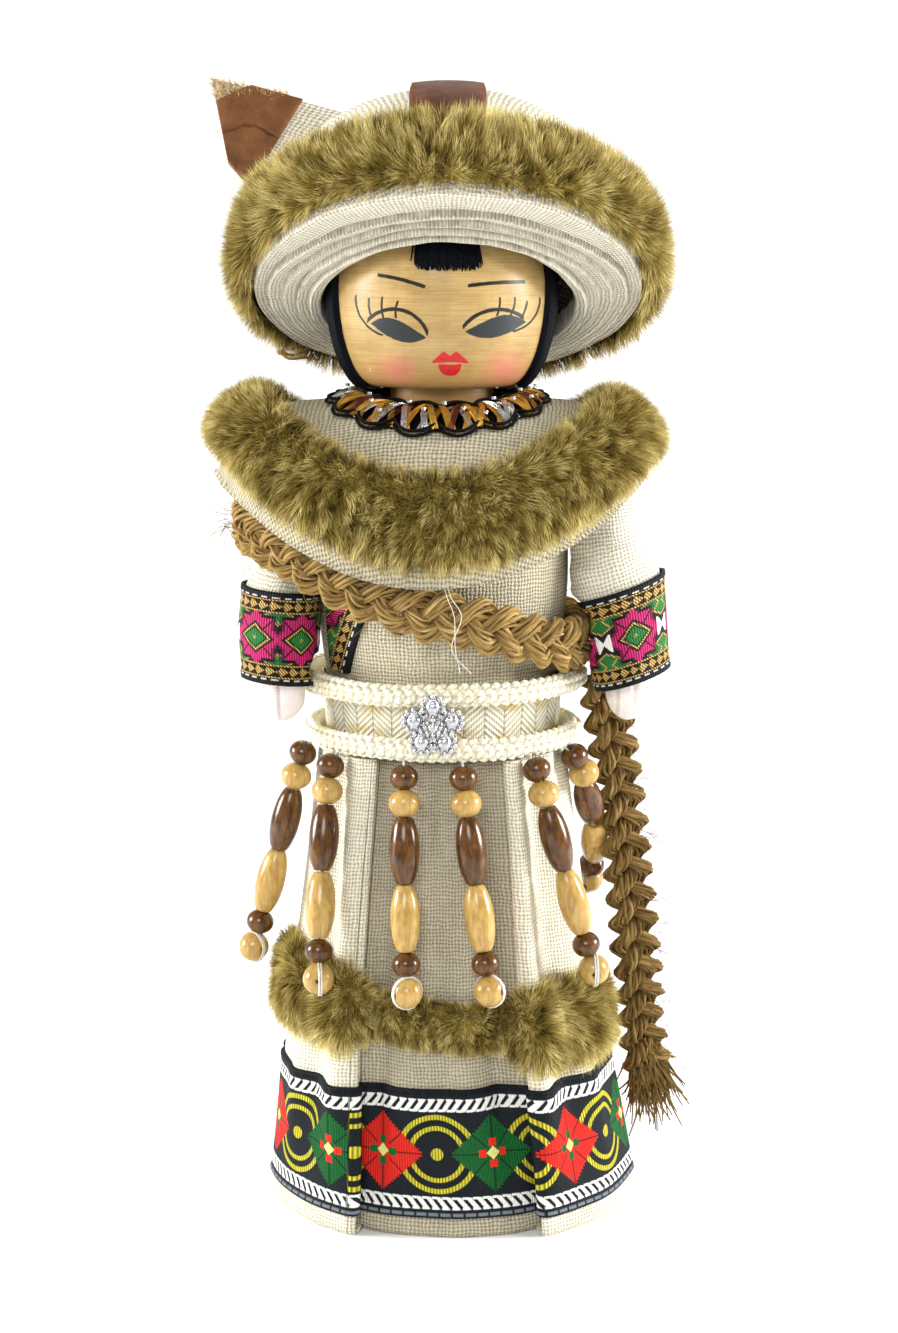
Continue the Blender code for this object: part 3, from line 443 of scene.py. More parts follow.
class Finish:
    """A material being made: its shader and the numbers and colours that feed it."""

    def __init__(self, name, roughness=0.8, specular=0.5, **plain):
        self.material = bpy.data.materials.new(name)
        self.material.use_nodes = True
        self.tree = self.material.node_tree
        self.shader = self.tree.nodes["Principled BSDF"]
        self.shader.inputs["Roughness"].default_value = roughness
        self.shader.inputs["Specular IOR Level"].default_value = specular
        for socket, value in plain.items():
            self.shader.inputs[socket.replace("_", " ").title()].default_value = value

    def place(self):
        """The pattern place in millimetres."""
        node = self.tree.nodes.new("ShaderNodeUVMap")
        node.uv_map = "place"
        return self.parts(node.outputs[0])[:2]

    def spot(self):
        """The point in space in millimetres."""
        node = self.tree.nodes.new("ShaderNodeTexCoord")
        return [part * (1.0 / MM) for part in self.parts(node.outputs["Object"])]

    def parts(self, socket):
        node = self.tree.nodes.new("ShaderNodeSeparateXYZ")
        self.tree.links.new(socket, node.inputs[0])
        return [Field(self.tree, output) for output in node.outputs]

    def vector(self, x, y, z=0.0):
        node = self.tree.nodes.new("ShaderNodeCombineXYZ")
        for target, value in zip(node.inputs, (x, y, z)):
            feed(self.tree, target, value)
        return node.outputs[0]

    def noise(self, x, y, z=0.0, detail=2.0, rough=0.5):
        """Noise from about 0 to 1 whose bumps are about 1 across."""
        node = self.tree.nodes.new("ShaderNodeTexNoise")
        node.inputs["Scale"].default_value = 1.0
        node.inputs["Detail"].default_value = detail
        node.inputs["Roughness"].default_value = rough
        self.tree.links.new(self.vector(x, y, z), node.inputs["Vector"])
        return Field(self.tree, node.outputs[0])

    def mix(self, low, high, share):
        node = self.tree.nodes.new("ShaderNodeMix")
        node.data_type = "RGBA"
        feed(self.tree, node.inputs[0], share)
        for target, value in ((node.inputs[6], low), (node.inputs[7], high)):
            feed(self.tree, target, value)
        return Field(self.tree, node.outputs[2])

    def attribute(self, name):
        node = self.tree.nodes.new("ShaderNodeAttribute")
        node.attribute_name = name
        return self.parts(node.outputs["Color"])

    def colour(self, value):
        feed(self.tree, self.shader.inputs["Base Color"], value)

    def roughness(self, value):
        feed(self.tree, self.shader.inputs["Roughness"], value)

    def bump(self, height, depth, strength=1.0):
        """Relief: height from 0 to 1 times depth in millimetres."""
        node = self.tree.nodes.new("ShaderNodeBump")
        node.inputs["Strength"].default_value = strength
        node.inputs["Distance"].default_value = depth * MM
        feed(self.tree, node.inputs["Height"], height)
        self.tree.links.new(node.outputs[0], self.shader.inputs["Normal"])


def weave(finish, u, v, pitch):
    """Height of a plain weave, 0 in the holes and 1 on top of the threads."""
    u = u + (finish.noise(u * 0.35, v * 0.35, detail=1.0) - 0.5) * (pitch * 1.1)
    v = v + (finish.noise(v * 0.35, u * 0.35, 7.0, detail=1.0) - 0.5) * (pitch * 1.1)
    warp = (u * (pi / pitch)).sine()
    weft = (v * (pi / pitch)).sine()
    over = warp.size() * (weft * warp.sign() * 0.34 + 0.66)
    under = weft.size() * (warp * weft.sign() * -0.34 + 0.66)
    return over.highest(under)


def linen(name, dark, light, pitch=LINEN_PITCH, sunk=None, shade_in_creases=False):
    """Plain weave whose threads differ a little from each other and along their length.

    A sunk stretch of the cloth, given as its low and high place, is painted darker as shade; cloth
    with folds is painted greyer in its creases, as shade.
    """
    finish = Finish(name, roughness=0.95, specular=0.2)
    u, v = finish.place()
    height = weave(finish, u, v, pitch)
    thread_u = finish.noise(u.stepped(pitch) * 7.3, v * 0.20, 3.0)
    thread_v = finish.noise(u * 0.20, v.stepped(pitch) * 7.3, 9.0)
    warp_on_top = (u * (pi / pitch)).sine() * (v * (pi / pitch)).sine()
    thread = finish.mix(thread_u, thread_v, warp_on_top.above(0.0, 0.3))
    fleck = finish.noise(u * 1.6, v * 1.6, 5.0, detail=3.0).above(0.64, 0.10)
    stain = finish.noise(u * 0.07, v * 0.07, 2.0)
    tone = (height * 1.10 + (thread - 0.5) * 0.65 + (stain - 0.5) * 0.3).clamped()
    tint = finish.mix(shade(*dark), shade(*light), tone)
    tint = finish.mix(tint, shade(132, 108, 74), fleck * 0.30)
    if sunk:
        # painted shade: the sunk panel's linen is darker, where the pleats shade it
        sunk_panel_shade = finish.mix(shade(70, 62, 46), shade(172, 160, 132), tone)
        tint = finish.mix(tint, sunk_panel_shade, u.between(sunk[0], sunk[1], 9.0) * 0.72)
    if shade_in_creases:
        # painted shade: the linen is greyer along each fold's crease
        crease = (v / FOLD_PLACE).combine("FRACT").below(0.045, 0.06)
        tint = finish.mix(tint, shade(104, 94, 70), crease * 0.45)
    finish.colour(tint)
    finish.bump(height + thread * 0.5, 0.24, 1.0)
    return finish.material


def body_linen():
    return linen("linen", (98, 87, 60), (216, 207, 180))


def sleeve_linen_painted_light():
    # A lighter copy of the linen: painted light where the side lamps fall on the sleeves.
    return linen("sleeve_linen_painted_light", (150, 140, 112), (250, 245, 226))


def skirt_linen():
    # the sunk front panel is painted darker, as shade
    return linen("skirt_linen", (148, 137, 108), (250, 244, 222), sunk=SHADED_SUNK_CLOTH)


def hat_linen():
    return linen("hat_linen", (132, 121, 96), (242, 236, 216))


def brim_linen():
    # the brim's linen is painted greyer in its creases, as shade
    return linen("brim_linen", (140, 130, 104), (252, 247, 230), shade_in_creases=True)


def fur(name, root, middle, tip):
    finish = Finish(name, roughness=0.75, specular=0.3)
    along, clump, hair = finish.attribute("pile")
    tone = (along * 0.72 + clump * 1.05 + hair * 0.36 - 0.60).clamped()
    deep = finish.mix(shade(*root), shade(*middle), (tone * 2.0).clamped())
    finish.colour(finish.mix(deep, shade(*tip), (tone * 2.0 - 1.0).clamped()))
    return finish.material


def olive_fur():
    return fur("fur", (52, 40, 8), (156, 133, 54), (244, 228, 156))


def hide_fur():
    return fur("hide_fur", (150, 110, 50), (214, 176, 110), (244, 224, 178))


def jute(name="jute", low_tone=(84, 60, 24), mid_tone=(160, 130, 76), top_tone=(216, 190, 134)):
    finish = Finish(name, roughness=0.9, specular=0.15)
    u, v = finish.place()
    fibre = finish.noise(u * 0.30, v * 4.0, detail=3.0)
    patch = finish.noise(u * 0.12, v * 0.6, 4.0)
    tone = (fibre * 1.0 + patch * 1.2 - 0.64).clamped()
    low = finish.mix(shade(*low_tone), shade(*mid_tone), (tone * 2.0).clamped())
    finish.colour(finish.mix(low, shade(*top_tone), (tone * 2.0 - 1.0).clamped()))
    finish.bump(fibre, 0.25)
    return finish.material


def cotton(name, dark, light, pitch):
    """Cord cotton: fine yarns that slant along each strand."""
    finish = Finish(name, roughness=0.9, specular=0.2)
    u, v = finish.place()
    strand = (u * (2.0 * pi / pitch) + v * (2.0 * pi)).sine() * 0.5 + 0.5
    soft = finish.noise(u * 0.8, v * 2.0, detail=2.0)
    stain = finish.noise(u * 0.12, v * 0.2, 6.0).above(0.58, 0.16)
    tint = finish.mix(shade(*dark), shade(*light), (strand * 0.6 + soft * 0.6).clamped())
    finish.colour(finish.mix(tint, shade(212, 196, 140), stain * 0.45))
    finish.bump(strand, 0.12)
    return finish.material


def twill_tape():
    """Cream tape woven in upright herringbone ribs, yellowed by glue near its edges."""
    finish = Finish("twill_tape", roughness=0.9, specular=0.2)
    u, v = finish.place()
    rib = 4.0
    slant = u.repeat(rib * 2.0).size()
    line = ((v + slant * 0.9) * (2.0 * pi / 1.3)).sine() * 0.5 + 0.5
    thread = (u * (2.0 * pi / 0.5)).sine() * 0.5 + 0.5
    seam = u.repeat(rib).size().below(0.18, 0.25)
    height = line * 0.80 + thread * 0.28 - seam * 0.6
    glue = finish.noise(u * 0.16, v * 0.24, 2.0, detail=3.0).above(0.54, 0.12)
    edge = (v - TAPE_WIDTH / MM * 0.5).size().above(1.8, 3.0)
    tint = finish.mix(shade(186, 177, 142), shade(253, 250, 236), height.clamped())
    finish.colour(finish.mix(tint, shade(206, 178, 88), glue * edge * 0.85))
    finish.bump(height, 0.40)
    return finish.material


def plain(name, colour, roughness, **values):
    """A thread or metal whose tone varies along its length."""
    finish = Finish(name, roughness=roughness, **values)
    x, y, z = finish.spot()
    tone = finish.noise(x * 1.6, y * 1.6, z * 1.6, detail=3.0)
    low = tuple(part * 0.55 for part in shade(*colour)[:3]) + (1.0,)
    finish.colour(finish.mix(low, shade(*colour), (tone * 1.7 - 0.2).clamped()))
    finish.bump(finish.noise(x * 5.0, y * 5.0, z * 5.0), 0.06)
    return finish.material


def black_hair():
    finish = Finish("black_hair", roughness=0.7, specular=0.06)
    u, v = finish.place()
    strand = finish.noise(u * 3.2, v * 0.12, detail=3.0)
    finish.colour(finish.mix(shade(3, 4, 6), shade(18, 21, 28), strand.above(0.5, 0.35)))
    finish.bump(strand, 0.25)
    return finish.material


def leather(name, dark, light):
    finish = Finish(name, roughness=0.6, specular=0.15)
    x, y, z = finish.spot()
    grain = finish.noise(x * 2.6, y * 2.6, z * 2.6, detail=4.0, rough=0.65)
    patch = finish.noise(x * 0.30, y * 0.30, z * 0.30, detail=3.0)
    tone = (grain * 0.7 + patch * 1.2 - 0.45).clamped()
    finish.colour(finish.mix(shade(*dark), shade(*light), tone))
    finish.roughness((0.48 + grain * 0.4).clamped())
    finish.bump(grain, 0.12)
    return finish.material


def bead_wood(name, dark, light, stretch):
    """Turned and varnished wood; its grain runs down the bead."""
    finish = Finish(name, roughness=0.22, specular=0.35, coat_weight=0.30, coat_roughness=0.05)
    x, y, z = finish.spot()
    flow = finish.noise(x * 0.9, y * 0.9, z * 0.22) * 3.0
    grain = finish.noise(x * 2.0 + flow, y * 2.0, z * stretch, detail=4.0, rough=0.6)
    ring = ((x * 1.3 + y * 0.8 + flow * 2.4) * 1.6).sine() * 0.5 + 0.5
    shadow = finish.noise(x * 0.5, y * 0.5, z * 0.5, detail=3.0)
    tone = (grain * 1.1 + ring * 0.35 + shadow * 0.8 - 0.62).clamped()
    finish.colour(finish.mix(shade(*dark), shade(*light), tone))
    finish.roughness((grain * 0.2 + 0.14).clamped())
    return finish.material


def satin():
    finish = Finish("pink_satin", roughness=0.45, sheen_weight=0.4, sheen_roughness=0.3)
    x, y, z = finish.spot()
    thread = (z * (2.0 * pi / 0.35)).sine() * 0.5 + 0.5
    soft = finish.noise(x * 0.5, y * 0.5, z * 0.5)
    seam = (x.size() - 33.5).size().below(0.35, 0.3) * y.below(-6.0, 2.0)
    tint = finish.mix(shade(222, 202, 196), shade(248, 240, 236), (thread * 0.4 + soft).clamped())
    finish.colour(finish.mix(tint, shade(168, 112, 106), seam * 0.35))
    finish.bump(thread, 0.05)
    return finish.material


# Ribbons

RIBBON_BLACK = shade(10, 15, 19)
RIBBON_RED = shade(226, 40, 28)
RIBBON_GREEN = shade(14, 96, 40)
RIBBON_YELLOW = shade(218, 206, 58)
RIBBON_WHITE = shade(238, 238, 232)


def satin_stitch(across, pitch=0.34):
    return (across * (2.0 * pi / pitch)).sine() * 0.5 + 0.5


def skirt_ribbon():
    """Black ribbon with red and green diamonds, yellow arcs between them and white chain rows."""
    finish = Finish("skirt_ribbon", roughness=0.65, specular=0.15)
    u, v = finish.place()
    middle = RIBBON_WIDTH / MM / 2.0
    period = 43.6
    up = v - middle
    rise = up.size()
    red_du = (u - period * 0.25).repeat(period)
    green_du = (u + period * 0.25).repeat(period)
    arc_du = u.repeat(period / 2.0)
    colour = finish.mix(RIBBON_BLACK, shade(26, 34, 40), satin_stitch(u + v, 0.5) * 0.7)
    sewn = None
    for du, body, spark in ((red_du, RIBBON_RED, RIBBON_GREEN), (green_du, RIBBON_GREEN, RIBBON_RED)):
        run = du.size()
        inside = (run / 8.2 + rise.stepped(0.55) / 7.8).below(1.0, 0.03)
        vein = run.below(0.20, 0.12).highest(rise.below(0.16, 0.12))
        vein = vein.highest((run - rise).size().below(0.22, 0.12) * run.above(1.4))
        tone = finish.mix(body, shade(8, 16, 16), vein * 0.75)
        thread = satin_stitch(du, 0.52)
        tone = finish.mix(tone, finish.mix(tone, RIBBON_BLACK, 0.45), (1.0 - thread) * 0.8)
        colour = finish.mix(colour, tone, inside)
        squares = (run - 2.1).size().highest(rise).below(0.75, 0.1)
        squares = squares.highest((rise - 2.1).size().highest(run).below(0.75, 0.1))
        colour = finish.mix(colour, spark, squares * inside)
        heart = (run + rise).below(1.35, 0.12)
        colour = finish.mix(colour, shade(226, 222, 130), heart)
        sewn = inside if sewn is None else sewn.highest(inside)
    distance = (arc_du * arc_du + up * up).root()
    wide = (distance - 7.4).size().below(0.52, 0.14) * rise.above(2.6, 0.3)
    tight = (distance - 5.2).size().below(0.48, 0.14) * rise.above(1.7, 0.3)
    dot = distance.below(1.25, 0.15)
    arcs = wide.highest(tight).highest(dot) * (1.0 - sewn)
    yellow = finish.mix(shade(126, 122, 24), RIBBON_YELLOW, satin_stitch(u, 0.6))
    colour = finish.mix(colour, yellow, arcs)
    chain_du = (u + up.sign() * up * -0.75).repeat(1.9)
    row = (rise - 9.75).size()
    chain = chain_du.size().below(0.56, 0.16) * row.below(1.25, 0.12)
    rail = (row - 1.05).size().below(0.26, 0.12) * (u.repeat(1.9) - 0.2).size().below(0.62, 0.16)
    chain = chain.highest(rail)
    colour = finish.mix(colour, RIBBON_WHITE, chain)
    lip = (rise - 12.0).size().below(0.32, 0.2) * u.repeat(2.3).size().below(0.95, 0.2)
    colour = finish.mix(colour, shade(120, 128, 136), lip * up.below(0.0, 0.2) * 0.8)
    colour = finish.mix(colour, shade(6, 8, 10), lip * up.above(0.0, 0.2) * 0.8)
    finish.colour(colour)
    relief = sewn.highest(arcs).highest(chain)
    ridges = satin_stitch(u, 0.52) * 0.35 + satin_stitch(v, 0.5) * 0.15
    finish.bump(relief * (0.6 + ridges) + ridges * 0.3 + lip * 0.5, 0.30)
    return finish.material


def cuff_ribbon():
    """Black-edged ribbon with gold braid rows and eight-pointed magenta flowers."""
    finish = Finish("cuff_ribbon", roughness=0.55, specular=0.2)
    u, v = finish.place()
    height = CUFF_HEIGHT / MM
    period = 14.4
    up = v - height / 2.0
    rise = up.size()
    du = u.repeat(period)
    run = du.size()
    gap_run = (u + period / 2.0).repeat(period).size()
    green = finish.mix(shade(8, 66, 28), shade(44, 140, 66), satin_stitch(u + v * 0.5, 0.45))
    magenta = finish.mix(shade(104, 10, 50), shade(226, 44, 122), satin_stitch(u, 0.55))
    gold = finish.mix(shade(66, 42, 12), shade(226, 184, 96), satin_stitch(u + up, 0.7))
    colour = finish.mix(shade(10, 12, 18), shade(30, 32, 40), satin_stitch(u + v, 0.5))
    leaf = (gap_run / 4.9 + (rise - 4.3).size() / 2.2).below(1.0, 0.06)
    colour = finish.mix(colour, gold, (gap_run / 4.9 + (rise - 4.3).size() / 2.2).below(1.2, 0.06))
    colour = finish.mix(colour, green, leaf)
    vein = leaf * (gap_run * 0.8 - (rise - 4.3).size() - 0.6).size().below(0.22, 0.15)
    colour = finish.mix(colour, gold, vein)
    step_run = run.stepped(0.62)
    step_rise = rise.stepped(0.55)
    square = step_run.highest(step_rise)
    diamond = step_run * 0.72 + step_rise * 0.86
    star = (square / 4.0).lowest(diamond / 4.5)
    colour = finish.mix(colour, shade(12, 10, 16), star.below(1.16, 0.04))
    flower = star.below(1.0, 0.04)
    colour = finish.mix(colour, magenta, flower)
    petal = flower * (run - rise * 1.1).size().below(0.24, 0.15) * (run + rise).above(3.4, 0.3)
    colour = finish.mix(colour, shade(40, 6, 24), petal)
    heart = run / 2.9 + rise / 2.1
    colour = finish.mix(colour, shade(24, 8, 18), heart.below(1.50, 0.08))
    colour = finish.mix(colour, gold, heart.below(1.26, 0.08))
    colour = finish.mix(colour, shade(14, 30, 18), heart.below(1.04, 0.08))
    colour = finish.mix(colour, green, heart.below(0.86, 0.08))
    colour = finish.mix(colour, gold, (run + rise).below(0.42, 0.15))
    bow = (rise - gap_run * 1.1).below(0.25, 0.15) * gap_run.below(1.8, 0.15) * rise.below(1.7, 0.15)
    colour = finish.mix(colour, shade(236, 232, 226), bow)
    band = (rise - 6.25).size()
    twist = (u + up.sign() * 0.8).repeat(2.4)
    rope = (band / 0.95 + (twist + band * 0.6).size() / 1.20).below(1.0, 0.12)
    colour = finish.mix(colour, shade(12, 10, 12), band.below(1.25, 0.15))
    colour = finish.mix(colour, gold, rope)
    colour = finish.mix(colour, gold, (band - 1.15).size().below(0.14, 0.12))
    edge = rise.above(7.55, 0.15)
    colour = finish.mix(colour, shade(10, 12, 17), edge)
    stitch = (rise - 7.85).size().below(0.15, 0.12) * u.repeat(2.3).size().below(0.65, 0.12)
    colour = finish.mix(colour, shade(210, 210, 202), stitch)
    finish.colour(colour)
    relief = flower.highest(leaf).highest(rope).highest(bow)
    finish.bump(relief * 0.7 + satin_stitch(u, 0.55) * 0.35 + edge * 0.5 + stitch * 0.4, 0.34)
    finish.roughness((0.66 - rope * 0.26).clamped())
    return finish.material


# The face, painted on the turned head.  Points are millimetres right of and above the head's centre.

# Each brush line is an arc through three points.
BROWS = (((-12.2, 2.8), (-7.8, 2.0), (-3.1, 0.6)), ((5.0, 0.8), (10.5, 1.35), (16.0, 1.4)))
LIDS = (((-14.3, -6.0), (-9.4, -3.6), (-2.6, -8.3)), ((4.0, -7.0), (10.1, -3.7), (15.8, -5.4)))
LASHES = (
    ((-16.5, -1.1), (-15.4, -5.5), (-11.2, -8.6)),
    ((-13.9, -1.5), (-13.9, -3.3), (-13.5, -5.0)),
    ((-11.3, -1.3), (-11.4, -3.4), (-11.1, -5.4)),
    ((-8.3, -2.0), (-8.7, -3.6), (-8.7, -5.3)),
    ((11.1, -1.4), (11.0, -3.1), (10.5, -4.9)),
    ((14.0, -1.4), (13.8, -3.3), (13.1, -5.0)),
    ((16.4, -2.2), (15.9, -4.2), (14.8, -6.0)),
    ((19.0, -1.6), (17.7, -5.6), (13.5, -7.9)),
)
# Left corner, right corner, and how much fuller the right half is
EYES = (((-13.6, -6.4), (-2.9, -8.9), -0.45), ((4.4, -7.8), (16.3, -6.2), 0.45))
EYE_FULLNESS = 1.95       # how far the edges bow from the line between the corners
MOUTH = (1.6, -13.75)
CHEEKS = ((-8.8, -15.2, 4.2), (12.2, -15.2, 5.0))
BROW_BRUSH = 0.72
LID_BRUSH = 0.72
LASH_BRUSH = 0.42


def stroke(x, z, points, width):
    """1 on a brush line that is the arc from the first point through the second to the third."""
    start, middle, end = (Vector(point) for point in points)
    chord = end - start
    run = chord.length
    ahead = chord / run
    outward = Vector((-ahead.y, ahead.x))
    rise = (middle - start).dot(outward)
    if rise < 0.0:
        outward, rise = -outward, -rise
    half = run / 2.0
    off_centre = (middle - start).dot(ahead) - half
    # The circle through all three points, along the line that halves the chord
    drop = (half * half - rise * rise - off_centre * off_centre) / (2.0 * rise)
    centre = start + ahead * half - outward * drop
    radius = hypot(half, drop)
    away_x = x - centre.x
    away_z = z - centre.y
    distance = ((away_x * away_x + away_z * away_z).root() - radius).size()
    along = (x - start.x) * ahead.x + (z - start.y) * ahead.y
    beside = (x - start.x) * outward.x + (z - start.y) * outward.y
    past_ends = (along - half).size() - half
    distance = distance.highest(past_ends + width / 2.0).highest(-0.3 - beside + width / 2.0)
    return distance.below(width / 2.0, 0.10)


def almond(x, z, left, right, blunt):
    """1 inside an eye between its corners; blunt says how much fuller it is at its right half."""
    middle_x = (left[0] + right[0]) / 2.0
    half = (right[0] - left[0]) / 2.0
    slope = (right[1] - left[1]) / (right[0] - left[0])
    line = (x - middle_x) * slope + (left[1] + right[1]) / 2.0
    across = (x - middle_x) / half
    fall = (1.0 - across * across).highest(0.0)
    above = (z - line) / (across * blunt + 1.0) / EYE_FULLNESS
    beneath = (line - z) / (across * (blunt * -0.4) + 1.0) / EYE_FULLNESS
    return above.highest(beneath).below(fall, 0.08) * across.size().below(1.0, 0.02)


def lips(x, z):
    """The upper lip with its two peaks, and the rounder lower lip under a narrow pale gap."""
    dx = x - MOUTH[0]
    dz = z - MOUTH[1]
    side = dx.size()
    crest = 2.20 - (side - 1.15).size().power(1.25) * 0.72 - side.below(1.15, 0.3) * 0.05
    upper = dz.below(crest, 0.12) * dz.above(side * -0.05 + 0.12, 0.10) * side.below(3.75, 0.1)
    bowl = (1.0 - (dx / 2.25).size().power(2.6)).highest(0.0).root() * -2.55
    lower = dz.above(bowl, 0.14) * dz.below(side * side * 0.03 - 0.34, 0.12) * side.below(2.25, 0.1)
    return upper.highest(lower)


def painted_head():
    finish = Finish("painted_head", roughness=0.38, specular=0.3, coat_weight=0.12, coat_roughness=0.25)
    x, y, z = finish.spot()
    x = x - HEAD_CENTRE.x / MM
    z = z - HEAD_CENTRE.z / MM
    rings = finish.noise(x * 0.10, y * 0.10, z * 3.4, detail=4.0, rough=0.62)
    cloud = finish.noise(x * 0.12, y * 0.12, z * 0.35, detail=3.0)
    flow = finish.noise(x * 0.35, y * 0.35, z * 0.06, detail=3.0)
    tone = (rings * 0.95 + cloud * 0.85 + flow * 0.4 - 0.60).clamped()
    colour = finish.mix(shade(146, 113, 60), shade(206, 178, 118), tone)
    streak = finish.noise(x * 0.05, y * 0.05, z * 5.0).above(0.60, 0.10)
    colour = finish.mix(colour, shade(156, 108, 50), streak * 0.36)
    speck = finish.noise(x * 1.1, y * 1.1, z * 1.6, detail=8.0).above(0.66, 0.06)
    colour = finish.mix(colour, shade(150, 96, 52), speck * 0.35)
    # painted shade: the head is darker towards the chin, under its curve
    chin_shade = (z * -1.0).above(15.0, 6.0)
    colour = finish.mix(colour, shade(190, 134, 72), chin_shade * 0.35)
    front = y.below(0.0, 0.5)
    shake_x = (finish.noise(x * 0.9, z * 0.9, 1.0) - 0.5) * 0.22
    shake_z = (finish.noise(x * 0.9, z * 0.9, 5.0) - 0.5) * 0.22
    px = x + shake_x
    pz = z + shake_z
    for cheek_x, cheek_z, reach in CHEEKS:
        away = ((x - cheek_x) * (x - cheek_x) * 0.70 + (z - cheek_z) * (z - cheek_z)).root()
        dust = finish.noise(x * 1.6, z * 1.6, 2.0, detail=4.0) * 0.5 + 0.7
        glow = (1.0 - away / reach).clamped() * dust * front
        colour = finish.mix(colour, shade(212, 112, 108), (glow * 0.72).clamped())
    lines = None
    strokes = [(points, BROW_BRUSH) for points in BROWS] + [(points, LID_BRUSH) for points in LIDS]
    strokes += [(points, LASH_BRUSH) for points in LASHES]
    for points, brush in strokes:
        mark = stroke(px, pz, points, brush)
        lines = mark if lines is None else lines.highest(mark)
    colour = finish.mix(colour, shade(24, 17, 9), lines * front)
    for left, right, blunt in EYES:
        eye = almond(px, pz, left, right, blunt) * front
        brush = finish.noise(x * 3.0, z * 3.0, 6.0)
        grey = finish.mix(shade(15, 19, 20), shade(46, 53, 53), brush)
        colour = finish.mix(colour, grey, eye)
    red = finish.mix(shade(176, 20, 26), shade(222, 44, 42), finish.noise(x * 1.5, z * 1.5, 3.0))
    mouth = lips(px, pz) * front
    colour = finish.mix(colour, red, mouth)
    finish.colour(colour)
    finish.roughness((0.30 + rings * 0.18 - mouth * 0.05).clamped())
    finish.bump(rings, 0.05)
    return finish.material


# Camera, light and floor

def make_camera():
    data = bpy.data.cameras.new("camera")
    data.lens = CAMERA_LENS
    data.sensor_width = 36.0
    data.clip_start = 0.01
    camera = bpy.data.objects.new("camera", data)
    camera.location = CAMERA_PLACE
    camera.rotation_euler = (radians(90.0 - CAMERA_PITCH), 0.0, 0.0)
    bpy.context.scene.collection.objects.link(camera)
    bpy.context.scene.camera = camera


def make_light(name, place, size, watts, colour=(1.0, 1.0, 1.0)):
    data = bpy.data.lights.new(name, "AREA")
    data.shape = "DISK"
    data.size = size
    data.energy = watts
    data.color = colour
    light = bpy.data.objects.new(name, data)
    light.location = place
    aim = Vector((0.0, 0.0, 0.11)) - Vector(place)
    light.rotation_euler = aim.to_track_quat("-Z", "Y").to_euler()
    bpy.context.scene.collection.objects.link(light)


# Each light: name, place, size in metres, watts
STUDIO_LIGHTS = (
    ("left", (-0.80, -0.02, 0.30), 0.35, 8.5),
    ("right", (0.80, -0.02, 0.32), 0.35, 10.5),
    ("front", (-0.10, -0.75, 0.52), 0.35, 3.0),
    ("back", (0.05, 0.65, 0.85), 0.50, 3.6),
)
SKY_STRENGTH = 0.40
FLOOR_REACH = 1.6
FLOOR_BACK = 0.6          # where the floor starts to bend up behind the doll
FLOOR_BEND = 0.5


def make_studio():
    bpy.context.scene.view_settings.view_transform = "Standard"
    world = bpy.data.worlds.new("studio")
    world.use_nodes = True
    world.node_tree.nodes["Background"].inputs["Color"].default_value = (1.0, 1.0, 1.0, 1.0)
    world.node_tree.nodes["Background"].inputs["Strength"].default_value = SKY_STRENGTH
    bpy.context.scene.world = world
    for name, place, size, watts in STUDIO_LIGHTS:
        make_light(name, place, size, watts)
    floor = Sewing()
    profile = [(-FLOOR_REACH, 0.0), (FLOOR_BACK, 0.0)]
    for step in range(1, 13):
        lift = radians(7.5 * step)
        profile.append((FLOOR_BACK + FLOOR_BEND * sin(lift), FLOOR_BEND - FLOOR_BEND * cos(lift)))
    profile.append((FLOOR_BACK + FLOOR_BEND, FLOOR_REACH))
    floor.skin([[Vector((side * FLOOR_REACH, y, z)) for side in (-1.0, 1.0)] for y, z in profile])
    finish = Finish("pale_floor", roughness=0.9)
    x, y, z = finish.spot()
    tone = finish.noise(x * 0.02, y * 0.02, z * 0.02)
    finish.colour(finish.mix((0.93, 0.93, 0.93, 1.0), (0.96, 0.96, 0.96, 1.0), tone))
    floor.make("floor", finish.material)


make_camera()
make_studio()


# Braids

def braid(sewing, path, width, thick, pitch, strands, yarns, yarn_radius, closed, out_of, slot=0,
          loose=0.0, sides=6):
    """A flat plait of strands, each a bundle of yarns; out_of(point) is the outward direction."""
    count = len(path)
    travelled = 0.0
    frames = []
    for index in range(count):
        if closed:
            ahead = path[(index + 1) % count] - path[index - 1]
        else:
            ahead = path[min(index + 1, count - 1)] - path[max(index - 1, 0)]
        ahead.normalize()
        across = ahead.cross(out_of(path[index])).normalized()
        out = across.cross(ahead).normalized()
        frames.append((path[index], across, out, travelled))
        travelled += (path[(index + 1) % count] - path[index]).length
    turns = max(1, round(travelled / pitch)) if closed else travelled / pitch
    bundle = yarn_radius * sqrt(yarns) * 1.05
    lane = width / 2.0 - bundle * 1.1
    lift = thick / 2.0 - bundle * 0.9
    for strand in range(strands):
        shift = 2.0 * pi * strand / strands
        for yarn in range(yarns):
            ring = sqrt((yarn + 0.5) / yarns) * bundle
            roll = yarn * 2.4
            line = []
            for point, across, out, along in frames:
                phase = 2.0 * pi * turns * along / travelled + shift
                twist = roll + phase
                far = 2.0 * pi * along / travelled
                loop = (sin(far) * travelled / 6.3, cos(far) * travelled / 6.3,
                        strand * 0.05 + yarn * 0.011)
                stray_side = wander(loop, 0.0035, 3.0) * loose
                stray_out = wander(loop, 0.0035, 11.0) * loose
                side = lane * sin(phase) + ring * 1.15 * cos(twist) + stray_side
                rise = lift * sin(2.0 * phase) + ring * 0.85 * sin(twist) + stray_out
                line.append(point + across * side + out * rise)
            sewing.tube(line, yarn_radius * (0.8 + 0.45 * (yarn * 0.37 % 1.0)), sides, closed, slot,
                        phase=strand * 3.1 + yarn * 1.7)


